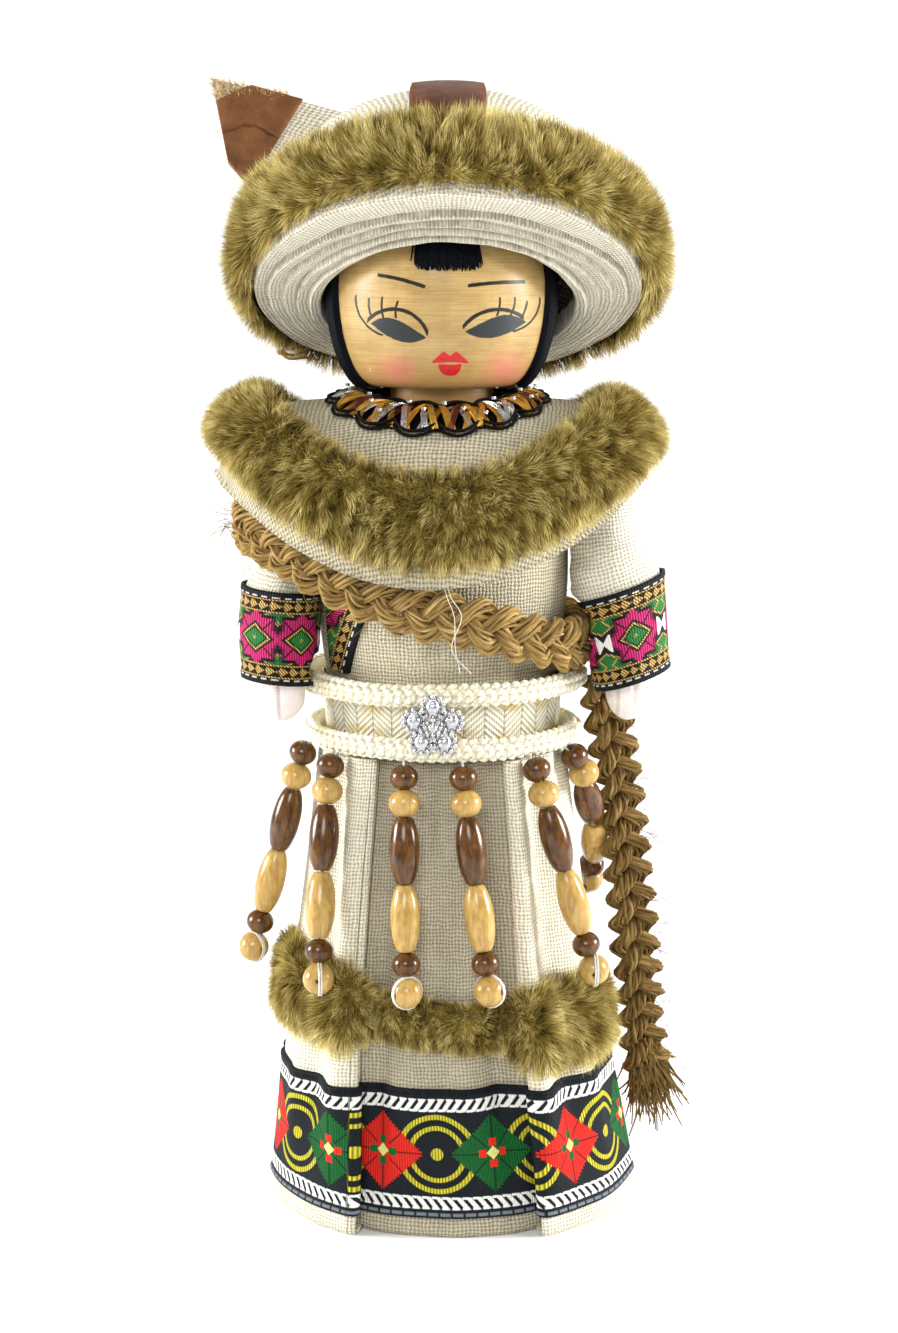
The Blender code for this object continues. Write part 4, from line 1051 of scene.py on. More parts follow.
def stray_fibres(sewing, path, reach, length, count, seed, out_of, radius=0.00005, slot=0):
    """Loose hairs that stand off a braid."""
    rng = np.random.default_rng(seed)
    for _ in range(count):
        base = path[int(rng.integers(0, len(path)))]
        out = out_of(base)
        sway = Vector(rng.normal(0.0, 1.0, 3))
        start = base + (out * 0.6 + sway * 0.5).normalized() * reach
        first = (out * 0.8 + sway * 0.8).normalized()
        second = (first + Vector(rng.normal(0.0, 0.8, 3)) + Vector((0.0, 0.0, -0.5))).normalized()
        size = length * float(rng.uniform(0.4, 1.0))
        line = [start, start + first * size * 0.35, start + first * size * 0.5 + second * size * 0.25,
                start + first * size * 0.55 + second * size * 0.5]
        sewing.tube(open_curve(line, 2), radius, 3, slot=slot)


def from_body(point):
    return Vector((point.x - BODY_SHIFT, point.y, 0.0)).normalized()


JUTE = jute()
TAIL_JUTE = jute("tail_jute", (60, 42, 16), (122, 96, 52), (178, 150, 98))
WHITE_THREAD = plain("white_thread", (238, 234, 224), 0.75)


def make_tail():
    """The sash's free end: a flat braid from the right hip that ends in a frayed tuft."""
    route = open_curve(TAIL_ROUTE, 12)

    def outward(point):
        return Vector((0.55, -0.84, 0.0))

    tail = Sewing()
    braid(tail, route, TAIL_WIDTH, TAIL_THICK, 0.0165, 3, 22, 0.00036, False, outward, loose=0.0008,
          sides=5)
    piece = dress(tail.make("jute_tail_braid", TAIL_JUTE), "jute_tail")
    strays = Sewing()
    stray_fibres(strays, route, 0.0042, 0.0070, 240, 11, outward)
    fibres = dress(strays.make("jute_tail_fibres", TAIL_JUTE))
    end = route[-1]
    ahead = (route[-1] - route[-4]).normalized()
    side = ahead.cross(outward(end)).normalized()
    out = side.cross(ahead).normalized()
    tuft = Sewing()
    rng = np.random.default_rng(5)
    for _ in range(330):
        turn = float(rng.uniform(0.0, 2.0 * pi))
        ring = float(rng.uniform(0.0, 1.0)) ** 0.5
        foot = side * (0.0044 * ring * cos(turn)) + out * (0.0026 * ring * sin(turn))
        length = TUFT_LENGTH * float(rng.uniform(0.35, 1.0))
        start = end - ahead * float(rng.uniform(0.001, 0.010)) + foot * 0.9
        bend = Vector(rng.normal(0.0, 0.0011, 3))
        line = [start, start + ahead * length * 0.4 + foot * 0.10 + bend * 0.4,
                start + ahead * length * 0.75 + foot * 0.22 + bend,
                start + ahead * length * 1.05 + foot * 0.30 + bend * 1.7]
        for point in line:
            point.z = max(point.z, 0.0008)
        tuft.tube(open_curve(line, 3), lambda share: 0.00034 * (1.0 - 0.55 * share), 4,
                  phase=float(rng.uniform(0.0, 9.0)))
    knot = dress(tuft.make("jute_tail_tuft", TAIL_JUTE), "jute_tuft")
    length = sum((far - near).length for near, far in zip(route, route[1:]))


def make_sash():
    """The plaited sash, its loose fibres and a white thread caught on it."""
    centres = closed_curve([(x, y, TAPE_TOP + rise) for x, y, rise in SASH_ROUTE], 260)
    sash = Sewing()
    braid(sash, centres, SASH_WIDTH, SASH_THICK, 0.0180, 3, 20, 0.00037, True, from_body, loose=0.0009,
          sides=5)
    dress(sash.make("jute_sash", JUTE), "sash")
    strays = Sewing()
    stray_fibres(strays, centres, 0.0036, 0.0055, 300, 12, from_body)
    dress(strays.make("jute_sash_fibres", JUTE))
    thread = Sewing()
    for shift in (0.0, 0.0007):
        line = [Vector((-0.0016 + shift, -0.0312, 0.1330)), Vector((-0.0004 + shift, -0.0318, 0.1285)),
                Vector((0.0010 + shift * 2.0, -0.0314, 0.1245)), Vector((0.0012 - shift, -0.0296, 0.1180)),
                Vector((0.0022 + shift * 3.0, -0.0280, 0.1130))]
        thread.tube(open_curve(line, 5), 0.00010, 4)
    dress(thread.make("sash_caught_thread", WHITE_THREAD))


make_tail()
make_sash()


# Skirt

def sunk_share(angle):
    degrees_here = angle * 180.0 / pi
    share = 0.0
    for middle, half_span, depth in SUNK_PANELS:
        away = abs((degrees_here - middle + 180.0) % 360.0 - 180.0)
        share = max(share, depth * smoothstep((half_span + FOLD_SPAN / 2.0 - away) / FOLD_SPAN))
    return share


def skirt_place(angle, sunk, z, offset=0.0):
    """A point of the skirt's cloth where it is sunk by that share of the pleat's depth."""
    down = 1.0 - z / SKIRT_HEIGHT
    flare = max(0.0, down) ** SKIRT_FLARE
    step = PLEAT_DEPTH * sunk * blend(PLEAT_AT_BELT, 1.0, down)
    half_width = blend(WAIST_HALF_WIDTH + SKIRT_PUFF, HEM_HALF_WIDTH, flare) - step + offset
    half_depth = blend(WAIST_HALF_DEPTH + SKIRT_PUFF, HEM_HALF_DEPTH, flare) - step + offset
    centre_x = blend(BODY_SHIFT, HEM_SHIFT, smoothstep((down - 0.5) * 2.0))
    return around(centre_x, half_width, half_depth, angle, z)


# A sharp fold as (degrees from the fold's line, share of its depth): the cloth passes over the sunk
# panel, doubles back under itself and goes on lower down
SHARP_FOLD = ((-5.0, 0.0), (-2.0, -0.04), (0.6, -0.04), (1.9, 0.04), (2.3, 0.20), (1.6, 0.36), (0.0, 0.46),
              (-1.4, 0.58), (-1.8, 0.78), (-0.8, 0.94), (1.5, 1.0), (5.0, 1.0))
SOFT_FOLD = ((-6.0, 0.0), (-3.0, 0.02), (-1.0, 0.22), (0.5, 0.62), (2.0, 0.92), (6.0, 1.0))
# Each fold: its line in degrees, the way the cloth steps in, its depth, and its shape
FOLDS = (
    (-155.0, -1.0, 0.8, SHARP_FOLD), (-123.0, 1.0, 0.6, SOFT_FOLD), (-85.0, -1.0, 0.6, SOFT_FOLD),
    (-33.5, 1.0, 1.35, SHARP_FOLD), (31.0, -1.0, 1.35, SHARP_FOLD), (81.0, 1.0, 0.6, SHARP_FOLD),
    (119.0, -1.0, 0.6, SOFT_FOLD), (151.0, 1.0, 0.8, SHARP_FOLD),
)


def skirt_stations():
    """Places around the hem: (angle in radians, sunk share, pattern place in millimetres)."""
    marks = []
    for line, way, depth, shape in FOLDS:
        points = shape if way > 0.0 else [(-a, b) for a, b in reversed(shape)]
        smooth = open_curve([(a, b, 0.0) for a, b in points], 4)
        marks += [(line + point.x, point.y * depth) for point in smooth]
    stations = []
    sunk = 0.8
    for angle, share in marks:
        before = stations[-1][0] if stations else -180.0
        if angle - before > 1.6:
            steps = int((angle - before) / 0.9)
            level = stations[-1][1] if stations else sunk
            for step in range(1, steps):
                stations.append((blend(before, angle, step / steps), blend(level, share, step / steps)))
        stations.append((angle, share))
    steps = int((180.0 - stations[-1][0]) / 0.9)
    tail_start = stations[-1][0]
    for step in range(1, steps):
        stations.append((blend(tail_start, 180.0, step / steps), stations[-1][1]))
    placed = []
    walked = 0.0
    before = None
    for angle, share in stations:
        point = skirt_place(radians(angle), share, RIBBON_LOW + RIBBON_WIDTH / 2.0)
        if before is not None:
            walked += (point - before).length / MM
        placed.append((radians(angle), share, walked))
        before = point
    return placed


STATIONS = skirt_stations()
# The ribbon's pattern is set so that a red diamond comes just right of the front fold
RED_ANGLE = radians(-24.0)
FOLD_EDGE = radians(-33.0)
RED_PLACE = 10.9          # a red diamond's middle within the pattern, in millimetres
HIDDEN_IN_FOLD = 6.0
# Rolls of cloth beside the folds: middle in degrees, half span in degrees, height in metres
ROLLS = (
    (-39.0, 5.0, 0.0020), (-51.0, 5.0, -0.0012), (-25.0, 4.0, -0.0012), (33.0, 5.0, 0.0024),
    (45.0, 5.0, -0.0012), (20.0, 4.0, -0.0014), (-62.0, 5.0, 0.0010), (58.0, 5.0, 0.0010),
    (-9.0, 6.0, 0.0006), (8.0, 6.0, 0.0007),
    (88.0, 5.0, 0.0009), (-92.0, 5.0, 0.0009), (112.0, 6.0, -0.0006), (-150.0, 6.0, 0.0009),
    (156.0, 6.0, 0.0010),
)


def pattern_start():
    """Pattern place that puts a red diamond's middle at RED_ANGLE."""
    nearest = min(STATIONS, key=lambda station: abs(station[0] - RED_ANGLE) + (1.0 - station[1]) * 0.2)
    return nearest[2] - RED_PLACE


PATTERN_START = pattern_start()


def cloth_place(station, z):
    if station >= len(STATIONS):
        return STATIONS[-1][2] + 1.0 - PATTERN_START, z / MM
    angle, _, walked = STATIONS[station]
    shift = HIDDEN_IN_FOLD if angle < FOLD_EDGE and walked < PATTERN_START + RED_PLACE else 0.0
    return walked - PATTERN_START - shift, z / MM


def ripple(angle, z):
    """How far the hanging cloth stands off: soft waves, rolls beside the folds, gathers at the belt."""
    low = 1.0 - z / SKIRT_HEIGHT
    sway = 0.00055 * low * wander((sin(angle) * 2.0, cos(angle) * 2.0, z * 12.0), 0.55, 2.0)
    gather = 0.00040 * smoothstep((z - 0.062) / 0.030) * sin(angle * 21.0 + 2.0 * sin(angle * 3.0))
    here = angle * 180.0 / pi
    rolls = 0.0
    for middle, span, height in ROLLS:
        away = ((here - middle + 180.0) % 360.0 - 180.0) / span
        rolls += height * 2.718 ** (-away * away)
    fade = smoothstep((z - 0.002) / 0.030) * (1.0 - 0.55 * smoothstep((z - 0.070) / 0.022))
    return sway + gather + rolls * fade


def make_skirt():
    skirt = Sewing()
    heights = [0.0010, 0.0003, 0.0002, 0.0010]
    heights += [blend(0.0022, SKIRT_HEIGHT, step / 60.0) for step in range(61)]
    insets = [-0.0024, -0.0015, -0.0004, 0.0] + [0.0] * 61
    rows = []
    for z, inset in zip(heights, insets):
        row = []
        for angle, share, _ in STATIONS:
            row.append(skirt_place(angle, share, z, inset + ripple(angle, z)))
        rows.append(row)
    start = skirt.skin(rows, lambda row, column: cloth_place(column, heights[row]), ring_columns=True)
    width = len(STATIONS)
    last = start + (len(rows) - 1) * width
    skirt.cap([last + column for column in range(width)])
    skirt.skin([rows[0], [Vector((HEM_SHIFT, 0.0, 0.0010))] * width],
               lambda row, column: (column * 0.3, row * 30.0), ring_columns=True)
    dress(skirt.make("skirt_cloth", skirt_linen()), "skirt")


def selvedge(share):
    """How far a ribbon's face stands off at this share of its width: thicker along both edges."""
    edge = min(share, 1.0 - share)
    return 0.0002 * (1.0 - smoothstep((edge - 0.03) / 0.03))


def lifted_line(z, lift):
    """The cloth's line at this height, pushed out square to the cloth, in its folds too."""
    line = [skirt_place(angle, sunk, z, ripple(angle, z)) for angle, sunk, _ in STATIONS]
    row = []
    for index, point in enumerate(line):
        ahead = line[(index + 1) % len(line)] - line[index - 1]
        row.append(point + Vector((ahead.y, -ahead.x, 0.0)).normalized() * lift)
    return row


def make_skirt_ribbon():
    ribbon = Sewing()
    shares = [0.0, 0.012, 0.03, 0.055, 0.08] + [blend(0.1, 0.9, step / 12.0) for step in range(13)]
    shares += [0.92, 0.945, 0.97, 0.988, 1.0]
    rows = []
    heights = []
    for share in [0.0] + shares + [1.0]:
        heights.append(blend(RIBBON_LOW, RIBBON_TOP, share))
    for index, z in enumerate(heights):
        inner = index in (0, len(heights) - 1)
        share = (z - RIBBON_LOW) / RIBBON_WIDTH
        lift = 0.0001 if inner else RIBBON_THICK + selvedge(share) - 0.0002 * (share in (0.0, 1.0))
        rows.append(lifted_line(z, lift))

    def place(row, column):
        u, _ = cloth_place(column, 0.0)
        return u, (heights[row] - RIBBON_LOW) / MM

    ribbon.skin(rows, place, ring_columns=True)
    dress(ribbon.make("skirt_ribbon_woven", skirt_ribbon()), "skirt_ribbon")


# Fur: a backing that lies on the cloth, and hairs rooted in it

def unit(vectors):
    return vectors / np.maximum(np.linalg.norm(vectors, axis=-1, keepdims=True), 1e-12)


def sample(sheet, along_u, along_v):
    """Points of a band at fractional places; it closes in u."""
    count_u, count_v = sheet.shape[:2]
    base_u = np.floor(along_u).astype(int)
    base_v = np.clip(np.floor(along_v).astype(int), 0, count_v - 2)
    part_u = (along_u - base_u)[:, None]
    part_v = (along_v - base_v)[:, None]
    low = sheet[base_u % count_u, base_v] * (1 - part_u) + sheet[(base_u + 1) % count_u, base_v] * part_u
    high = sheet[base_u % count_u, base_v + 1] * (1 - part_u)
    high += sheet[(base_u + 1) % count_u, base_v + 1] * part_u
    return low * (1 - part_v) + high * part_v


def make_pile(name, sheet, length, lean, count, seed, surface, middle, width=0.00010, fall=0.18):
    """Hairs over a band.  sheet is an array of points around and across the band, length and lean are
    functions of the share around and the share across; lean is towards the band's far edge."""
    rng = np.random.default_rng(seed)
    around_count, across_count = sheet.shape[:2]
    pool = int(count * 1.8)
    at_u = rng.random(pool) * around_count
    at_v = rng.random(pool) * (across_count - 1.001)
    step_u = sample(sheet, at_u + 0.5, at_v) - sample(sheet, at_u - 0.5, at_v)
    step_v = sample(sheet, at_u, np.minimum(at_v + 0.5, across_count - 1.001))
    step_v -= sample(sheet, at_u, np.maximum(at_v - 0.5, 0.0))
    area = np.linalg.norm(np.cross(step_u, step_v), axis=1)
    chosen = rng.choice(pool, count, replace=False, p=area / area.sum())
    at_u, at_v = at_u[chosen], at_v[chosen]
    across = unit(step_v[chosen])
    normal = unit(np.cross(step_u[chosen], step_v[chosen]))
    root = sample(sheet, at_u, at_v)
    share_u = at_u / around_count
    share_v = at_v / (across_count - 1)
    facing = np.sign(np.einsum("ij,ij->i", normal, root - np.array(middle)))
    normal *= np.where(facing == 0.0, 1.0, facing)[:, None]
    sideways = unit(np.cross(normal, across))

    clump_count = max(8, count // 40)
    seeds = rng.choice(count, clump_count, replace=False)
    tree = KDTree(clump_count)
    for index, chosen_root in enumerate(seeds):
        tree.insert(root[chosen_root], index)
    tree.balance()
    owner = np.array([tree.find(point)[1] for point in root])
    swirl = rng.normal(0.0, 0.16, (clump_count, 2))
    clump_tone = rng.random(clump_count)
    wave = np.array([drift(Vector(point) / 0.009) for point in root[seeds]])
    drift_side = np.array([drift(Vector(point) / 0.013 + Vector((9.0, 2.0, 5.0))) for point in root[seeds]])
    streaks = np.array((0.0017, 0.0017, 0.0060))
    patch = np.array([drift(Vector(point / streaks)) for point in root])

    tilt = lean(share_u, share_v) + swirl[owner, 0] + wave[owner] * 0.45
    slide = swirl[owner, 1] + drift_side[owner] * 0.7
    toward = across * tilt[:, None] + sideways * slide[:, None]
    direction = unit(normal + toward * 0.9 + rng.normal(0.0, 0.13, (count, 3)))
    bend = toward * 0.5 + rng.normal(0.0, 0.20, (count, 3)) + np.array([0.0, 0.0, -fall])
    reach = length(share_u, share_v) * rng.uniform(0.70, 1.08, count) * (0.92 + 0.16 * clump_tone[owner])
    pull = (root[seeds][owner] - root) * 0.35

    points = np.zeros((count, 5, 3))
    pile = np.ones((count, 5, 4))
    sweep = unit(np.cross(direction, rng.normal(0.0, 1.0, (count, 3))))
    tone = clump_tone[owner] * 0.30 + (patch * 0.75 + 0.5) * 0.70
    hair_tone = rng.random(count)
    for index, (along, thick) in enumerate(((0.0, 1.0), (0.6, 0.85), (1.0, 0.0))):
        spine = root + (direction * along + bend * (along * along * 0.5)) * reach[:, None]
        spine = spine + pull * (along * along)
        half = sweep * (width * 0.5 * thick)
        slots = (4,) if index == 2 else (index * 2, index * 2 + 1)
        for slot, sign in zip(slots, (-1.0, 1.0)):
            points[:, slot] = spine + half * sign
            pile[:, slot, 0] = along
    pile[:, :, 1] = tone[:, None]
    pile[:, :, 2] = hair_tone[:, None]
    points[:, :, 2] = np.maximum(points[:, :, 2], 0.0004)
    pattern = np.array([[0, 1, 3], [0, 3, 2], [2, 3, 4]])
    corners = (np.arange(count)[:, None, None] * 5 + pattern[None]).reshape(-1)
    return mesh_of(name, points.reshape(-1, 3), corners, pile.reshape(-1, 4), surface)


def mesh_of(name, points, corners, pile, surface):
    mesh = bpy.data.meshes.new(name)
    mesh.vertices.add(len(points))
    mesh.vertices.foreach_set("co", points.ravel())
    mesh.loops.add(len(corners))
    mesh.loops.foreach_set("vertex_index", corners)
    mesh.polygons.add(len(corners) // 3)
    mesh.polygons.foreach_set("loop_start", np.arange(0, len(corners), 3))
    mesh.update(calc_edges=True)
    layer = mesh.attributes.new("pile", "FLOAT_COLOR", "POINT")
    layer.data.foreach_set("color", pile.ravel())
    mesh.shade_smooth()
    mesh.materials.append(surface)
    made = bpy.data.objects.new(name, mesh)
    bpy.context.scene.collection.objects.link(made)
    return made


def make_backing(name, sheet, surface, tone=0.42):
    """The dark lower pile that shows between the hairs, lumpy like the hairs over it."""
    sewing = Sewing()
    rows = [[Vector(point) for point in row] for row in sheet]
    sewing.skin(rows, ring_rows=True)
    made = sewing.make(name, surface)
    layer = made.data.attributes.new("pile", "FLOAT_COLOR", "POINT")
    values = []
    for vertex in made.data.vertices:
        patch = wander(vertex.co, 0.0022, 4.0) * 0.5 + 0.5
        values += [tone, patch, 0.4, 1.0]
    layer.data.foreach_set("color", values)
    return made


def band_sheet(surface_point, count_u, shares):
    """An array of points around and across a band from a function of (angle, share)."""
    rows = [[tuple(surface_point(angle, share)) for share in shares] for angle in turn_list(count_u)]
    return np.array(rows)


FUR = olive_fur()
FUR_HAIRS = 64000


def skirt_fur_range(angle):
    sunk = sunk_share(angle)
    width = blend(SKIRT_FUR_WIDTH, SKIRT_FUR_SUNK_WIDTH, sunk)
    middle = RIBBON_TOP + SKIRT_FUR_ABOVE_RIBBON + SKIRT_FUR_WIDTH / 2.0
    middle -= SKIRT_FUR_WIDTH * (0.19 * sin(angle) + 0.05 + 0.06 * sunk)
    return middle - width / 2.0, middle + width / 2.0


def skirt_fur_pile(angle):
    return SKIRT_FUR_PILE * (1.0 - 0.35 * sunk_share(angle))


def bulge(share):
    """Rounded profile of a fur band: 0 at both edges, 1 in the middle."""
    return sqrt(max(0.0, 1.0 - (2.0 * share - 1.0) ** 4))


def make_skirt_fur():
    def body(angle, share):
        low, high = skirt_fur_range(angle)
        inner = blend(low, high, 0.06 + 0.88 * share)
        lump = 0.12 * wander((angle * 4.0, share * 2.0, 1.0), 0.5)
        lift = 0.0004 + skirt_fur_pile(angle) * 0.45 * bulge(share) * (1.0 + lump)
        return skirt_place(angle, sunk_share(angle), inner, lift + ripple(angle, inner))

    sheet = band_sheet(body, 240, [step / 14.0 for step in range(15)])
    dress(make_backing("skirt_fur_backing", sheet, FUR))

    def length(share_u, share_v):
        turn = share_u * 2.0 * pi
        sunk = np.array([sunk_share(angle) for angle in turn])
        return 0.0034 * (1.0 - 0.42 * sunk)

    def lean(share_u, share_v):
        return (share_v - 0.5) * 1.3 - 0.10

    pile = make_pile("skirt_fur_pile", sheet, length, lean, FUR_HAIRS, 21, FUR, (0.0, 0.0, 0.045))
    dress(pile, "skirt_fur")


make_skirt()
make_skirt_ribbon()
make_skirt_fur()


# Bodice, belt and side ribbon

def bodice_halves(z):
    rise = min(1.0, max(0.0, (z - WAIST_Z) / BODICE_HEIGHT))
    fill = smoothstep(rise / 0.5)
    half_width = blend(WAIST_HALF_WIDTH, CHEST_HALF_WIDTH, fill)
    half_depth = blend(WAIST_HALF_DEPTH, CHEST_HALF_DEPTH, fill)
    shoulder = sqrt(max(0.0, 1.0 - max(0.0, (rise - 0.66) / 0.34) ** 2.6))
    top = NECK_RADIUS + 2.0 * GAP
    return blend(top, half_width, shoulder), blend(top, half_depth, shoulder)


def bodice_point(angle, z, offset=0.0):
    half_width, half_depth = bodice_halves(z)
    return around(BODY_SHIFT, half_width + offset, half_depth + offset, angle, z)


def make_bodice():
    bodice = Sewing()
    heights = [blend(WAIST_Z, SHOULDER_Z, step / 70.0) for step in range(71)]
    angles = turn_list(150)
    rows = []
    for z in heights:
        row = []
        for angle in angles:
            crease = 0.00035 * wander((angle * 3.0, z / 0.016, 0.0), 1.0, 5.0)
            row.append(bodice_point(angle, z, crease))
        rows.append(row)
    start = bodice.skin(rows, lambda row, column: (column * 1.0, heights[row] / MM), ring_columns=True)
    bodice.cap([start + column for column in range(len(angles))][::-1])
    last = start + (len(rows) - 1) * len(angles)
    bodice.cap([last + column for column in range(len(angles))])
    piece = dress(bodice.make("bodice_stuffed", LINEN), "bodice")


def make_belt_tape():
    tape = Sewing()
    angles = turn_list(180)
    rows = []
    shares = (0.0, 0.0, 0.03, 0.25, 0.5, 0.75, 0.97, 1.0, 1.0)
    lifts = (0.1, 0.6, 1.0, 1.0, 1.0, 1.0, 1.0, 0.6, 0.1)
    for share, lift in zip(shares, lifts):
        z = blend(TAPE_LOW, TAPE_TOP, share)
        rows.append([bodice_point(angle, z, GAP + TAPE_THICK * lift) for angle in angles])
    girth = 2.0 * pi * WAIST_HALF_WIDTH / MM
    tape.skin(rows, lambda row, column: (girth * column / len(angles), shares[row] * TAPE_WIDTH / MM),
              ring_columns=True)
    dress(tape.make("belt_tape_twill", twill_tape()), "belt_tape")


def belt_cord_heights():
    return TAPE_LOW + BELT_CORD_RADIUS, TAPE_TOP - BELT_CORD_RADIUS * 0.4


def belt_cord_point(angle, z, out=0.0, up=0.0):
    offset = 2.0 * GAP + TAPE_THICK + BELT_CORD_RADIUS
    point = bodice_point(angle, z + BELT_CORD_RADIUS, offset + out)
    point.z = z + up
    return point


def make_belt_cord(name, z, node, seed):
    """A knitted cream cord: four rows of slanted stitches over a core."""
    cord = Sewing()
    radius = BELT_CORD_RADIUS * 1.08
    stitches = 82
    path = []
    outs = []
    for angle in turn_list(stitches * 3):
        dip = 0.0004 * wander((sin(angle), cos(angle), seed), 0.6)
        point = belt_cord_point(angle, z, 0.0, dip)
        path.append(point)
        outs.append(from_body(point))
    cord.tube(path, radius * 0.74, 10, closed=True)
    total = len(path)
    for row, turn in enumerate((-72.0, -24.0, 24.0, 72.0)):
        slant = 1.0 if row % 2 else -1.0
        for stitch in range(stitches):
            line = []
            for step in range(5):
                along = step / 4.0 - 0.5
                index = stitch * 3 + along * 3.6 + (0.8 if row in (1, 2) else 0.0)
                base = int(index) % total
                part = index - int(index)
                centre = path[base].lerp(path[(base + 1) % total], part)
                roll = radians(turn + slant * 17.0 * along * 2.0)
                lift = radius * (0.66 + 0.12 * cos(along * 4.0))
                line.append(centre + outs[base] * (cos(roll) * lift) + Vector((0.0, 0.0, sin(roll) * lift)))
            cord.tube(line, lambda share: 0.00074 * (0.55 + 0.45 * sin(pi * share)), 6,
                      phase=stitch * 0.7 + row)
    dress(cord.make(name, CREAM_CORD), node)


def make_belt_flower():
    """Five petals, each a ring of small balls round a dome, and a dome in the middle."""
    low, high = belt_cord_heights()
    front = belt_cord_point(0.0, high, BELT_CORD_RADIUS + GAP).y
    centre = Vector((BODY_SHIFT + FLOWER_SHIFT, front - 0.0008, (low + high) / 2.0))
    flower = Sewing()
    petal_reach = FLOWER_RADIUS * 0.66
    petal_size = FLOWER_RADIUS * 0.35
    for petal in turn_list(5):
        middle = centre + Vector((petal_reach * sin(petal), 0.0, petal_reach * cos(petal)))
        for bead in turn_list(10):
            spot = middle + Vector((petal_size * sin(bead), 0.0, petal_size * cos(bead)))
            flower.ball(spot, 0.00056, rings=6, sides=8)
        flower.ball(middle + Vector((0.0, -0.0002, 0.0)), petal_size * 0.72, squash=(1.0, 0.75, 1.0))
        back = middle + Vector((0.0, 0.0004, 0.0))
        flower.ball(back, petal_size * 1.15, squash=(1.0, 0.25, 1.0))
    for bead in turn_list(8):
        spot = centre + Vector((0.00140 * sin(bead), -0.0007, 0.00140 * cos(bead)))
        flower.ball(spot, 0.00050, rings=6, sides=8)
    flower.ball(centre + Vector((0.0, -0.0007, 0.0)), 0.00105, squash=(1.0, 0.8, 1.0))
    dress(flower.make("belt_flower_silver", SILVER), "belt_flower")


def make_side_ribbon():
    low = belt_cord_heights()[1] + BELT_CORD_RADIUS + GAP
    high = blend(TAPE_TOP, SHOULDER_Z, 0.30)
    ribbon = Sewing()
    rows = []
    widths = [step / 12.0 for step in range(13)]
    lengths = [step / 16.0 for step in range(17)]
    for share in lengths:
        z = blend(low, high, share)
        left_edge = radians(blend(-64.0, -62.0, share))
        right_edge = radians(blend(-49.0, -33.0, share))
        row = [bodice_point(blend(left_edge, right_edge, part), z, 0.0002) for part in (0.0,)]
        row += [bodice_point(blend(left_edge, right_edge, part), z, 0.0009) for part in widths]
        row += [bodice_point(right_edge, z, 0.0002)]
        rows.append(row)
    span = [0.0] + widths + [1.0]

    def place(row, column):
        share = lengths[row]
        wide = blend(3.6, 9.6, share)
        return blend(0.0, 15.5, share), (1.0 - span[column]) * wide

    ribbon.skin(rows, place)
    dress(ribbon.make("side_ribbon_woven", CUFF_RIBBON), "side_ribbon")


LINEN = body_linen()
CREAM_CORD = cotton("cream_cord", (202, 194, 162), (250, 246, 228), 0.9)
CUFF_RIBBON = cuff_ribbon()
SILVER = plain("silver", (206, 206, 208), 0.24, metallic=1.0)
GOLD = plain("gold_thread", (214, 164, 66), 0.34, metallic=0.85)
RED_GOLD = plain("red_gold_thread", (110, 52, 36), 0.4, metallic=0.7)
BLACK_THREAD = plain("black_thread", (7, 7, 9), 0.65, specular=0.12)
LIT_SLEEVE_LINEN = sleeve_linen_painted_light()

make_bodice()
make_belt_tape()
make_belt_cord("belt_cord_low_plait", belt_cord_heights()[0], "belt_cord_bottom", 1.0)
make_belt_cord("belt_cord_high_plait", belt_cord_heights()[1], "belt_cord_top", 2.0)
make_belt_flower()
make_side_ribbon()


# Head, hair and fringe

def head_radius(z):
    rise = z - HEAD_CENTRE.z
    if rise >= 0.0:
        return sqrt(max(0.0, HEAD_RADIUS ** 2 - rise ** 2))
    share = min(1.0, -rise / CHIN_DROP)
    return CHIN_RADIUS + (HEAD_RADIUS - CHIN_RADIUS) * sqrt(1.0 - share ** 2)


def head_point(angle, z, offset=0.0):
    point = Vector((head_radius(z) * sin(angle), -head_radius(z) * cos(angle), z - HEAD_CENTRE.z))
    return HEAD_CENTRE + point * (1.0 + offset / point.length)


def make_head():
    head = Sewing()
    angles = turn_list(144)
    rows = []
    for z in (SHOULDER_Z + GAP, CHIN_Z - 0.0002):
        rows.append([around(BODY_SHIFT, NECK_RADIUS, NECK_RADIUS, angle, z) for angle in angles])
    for share in (0.1, 0.5, 0.9):
        radius = blend(NECK_RADIUS, CHIN_RADIUS, share)
        rows.append([around(BODY_SHIFT, radius, radius, angle, CHIN_Z) for angle in angles])
    for step in range(1, 30):
        lift = -90.0 + 90.0 * step / 30.0
        rows.append([head_point(angle, HEAD_CENTRE.z + CHIN_DROP * sin(radians(lift))) for angle in angles])
    for step in range(0, 30):
        z = HEAD_CENTRE.z + HEAD_RADIUS * sin(radians(89.0 * step / 29.0))
        rows.append([head_point(angle, z) for angle in angles])
    start = head.skin(rows, ring_columns=True)
    head.cap([start + column for column in range(len(angles))][::-1])
    last = start + (len(rows) - 1) * len(angles)
    head.cap([last + column for column in range(len(angles))])
    dress(head.make("head_painted", painted_head(), sharp=60.0), "head")


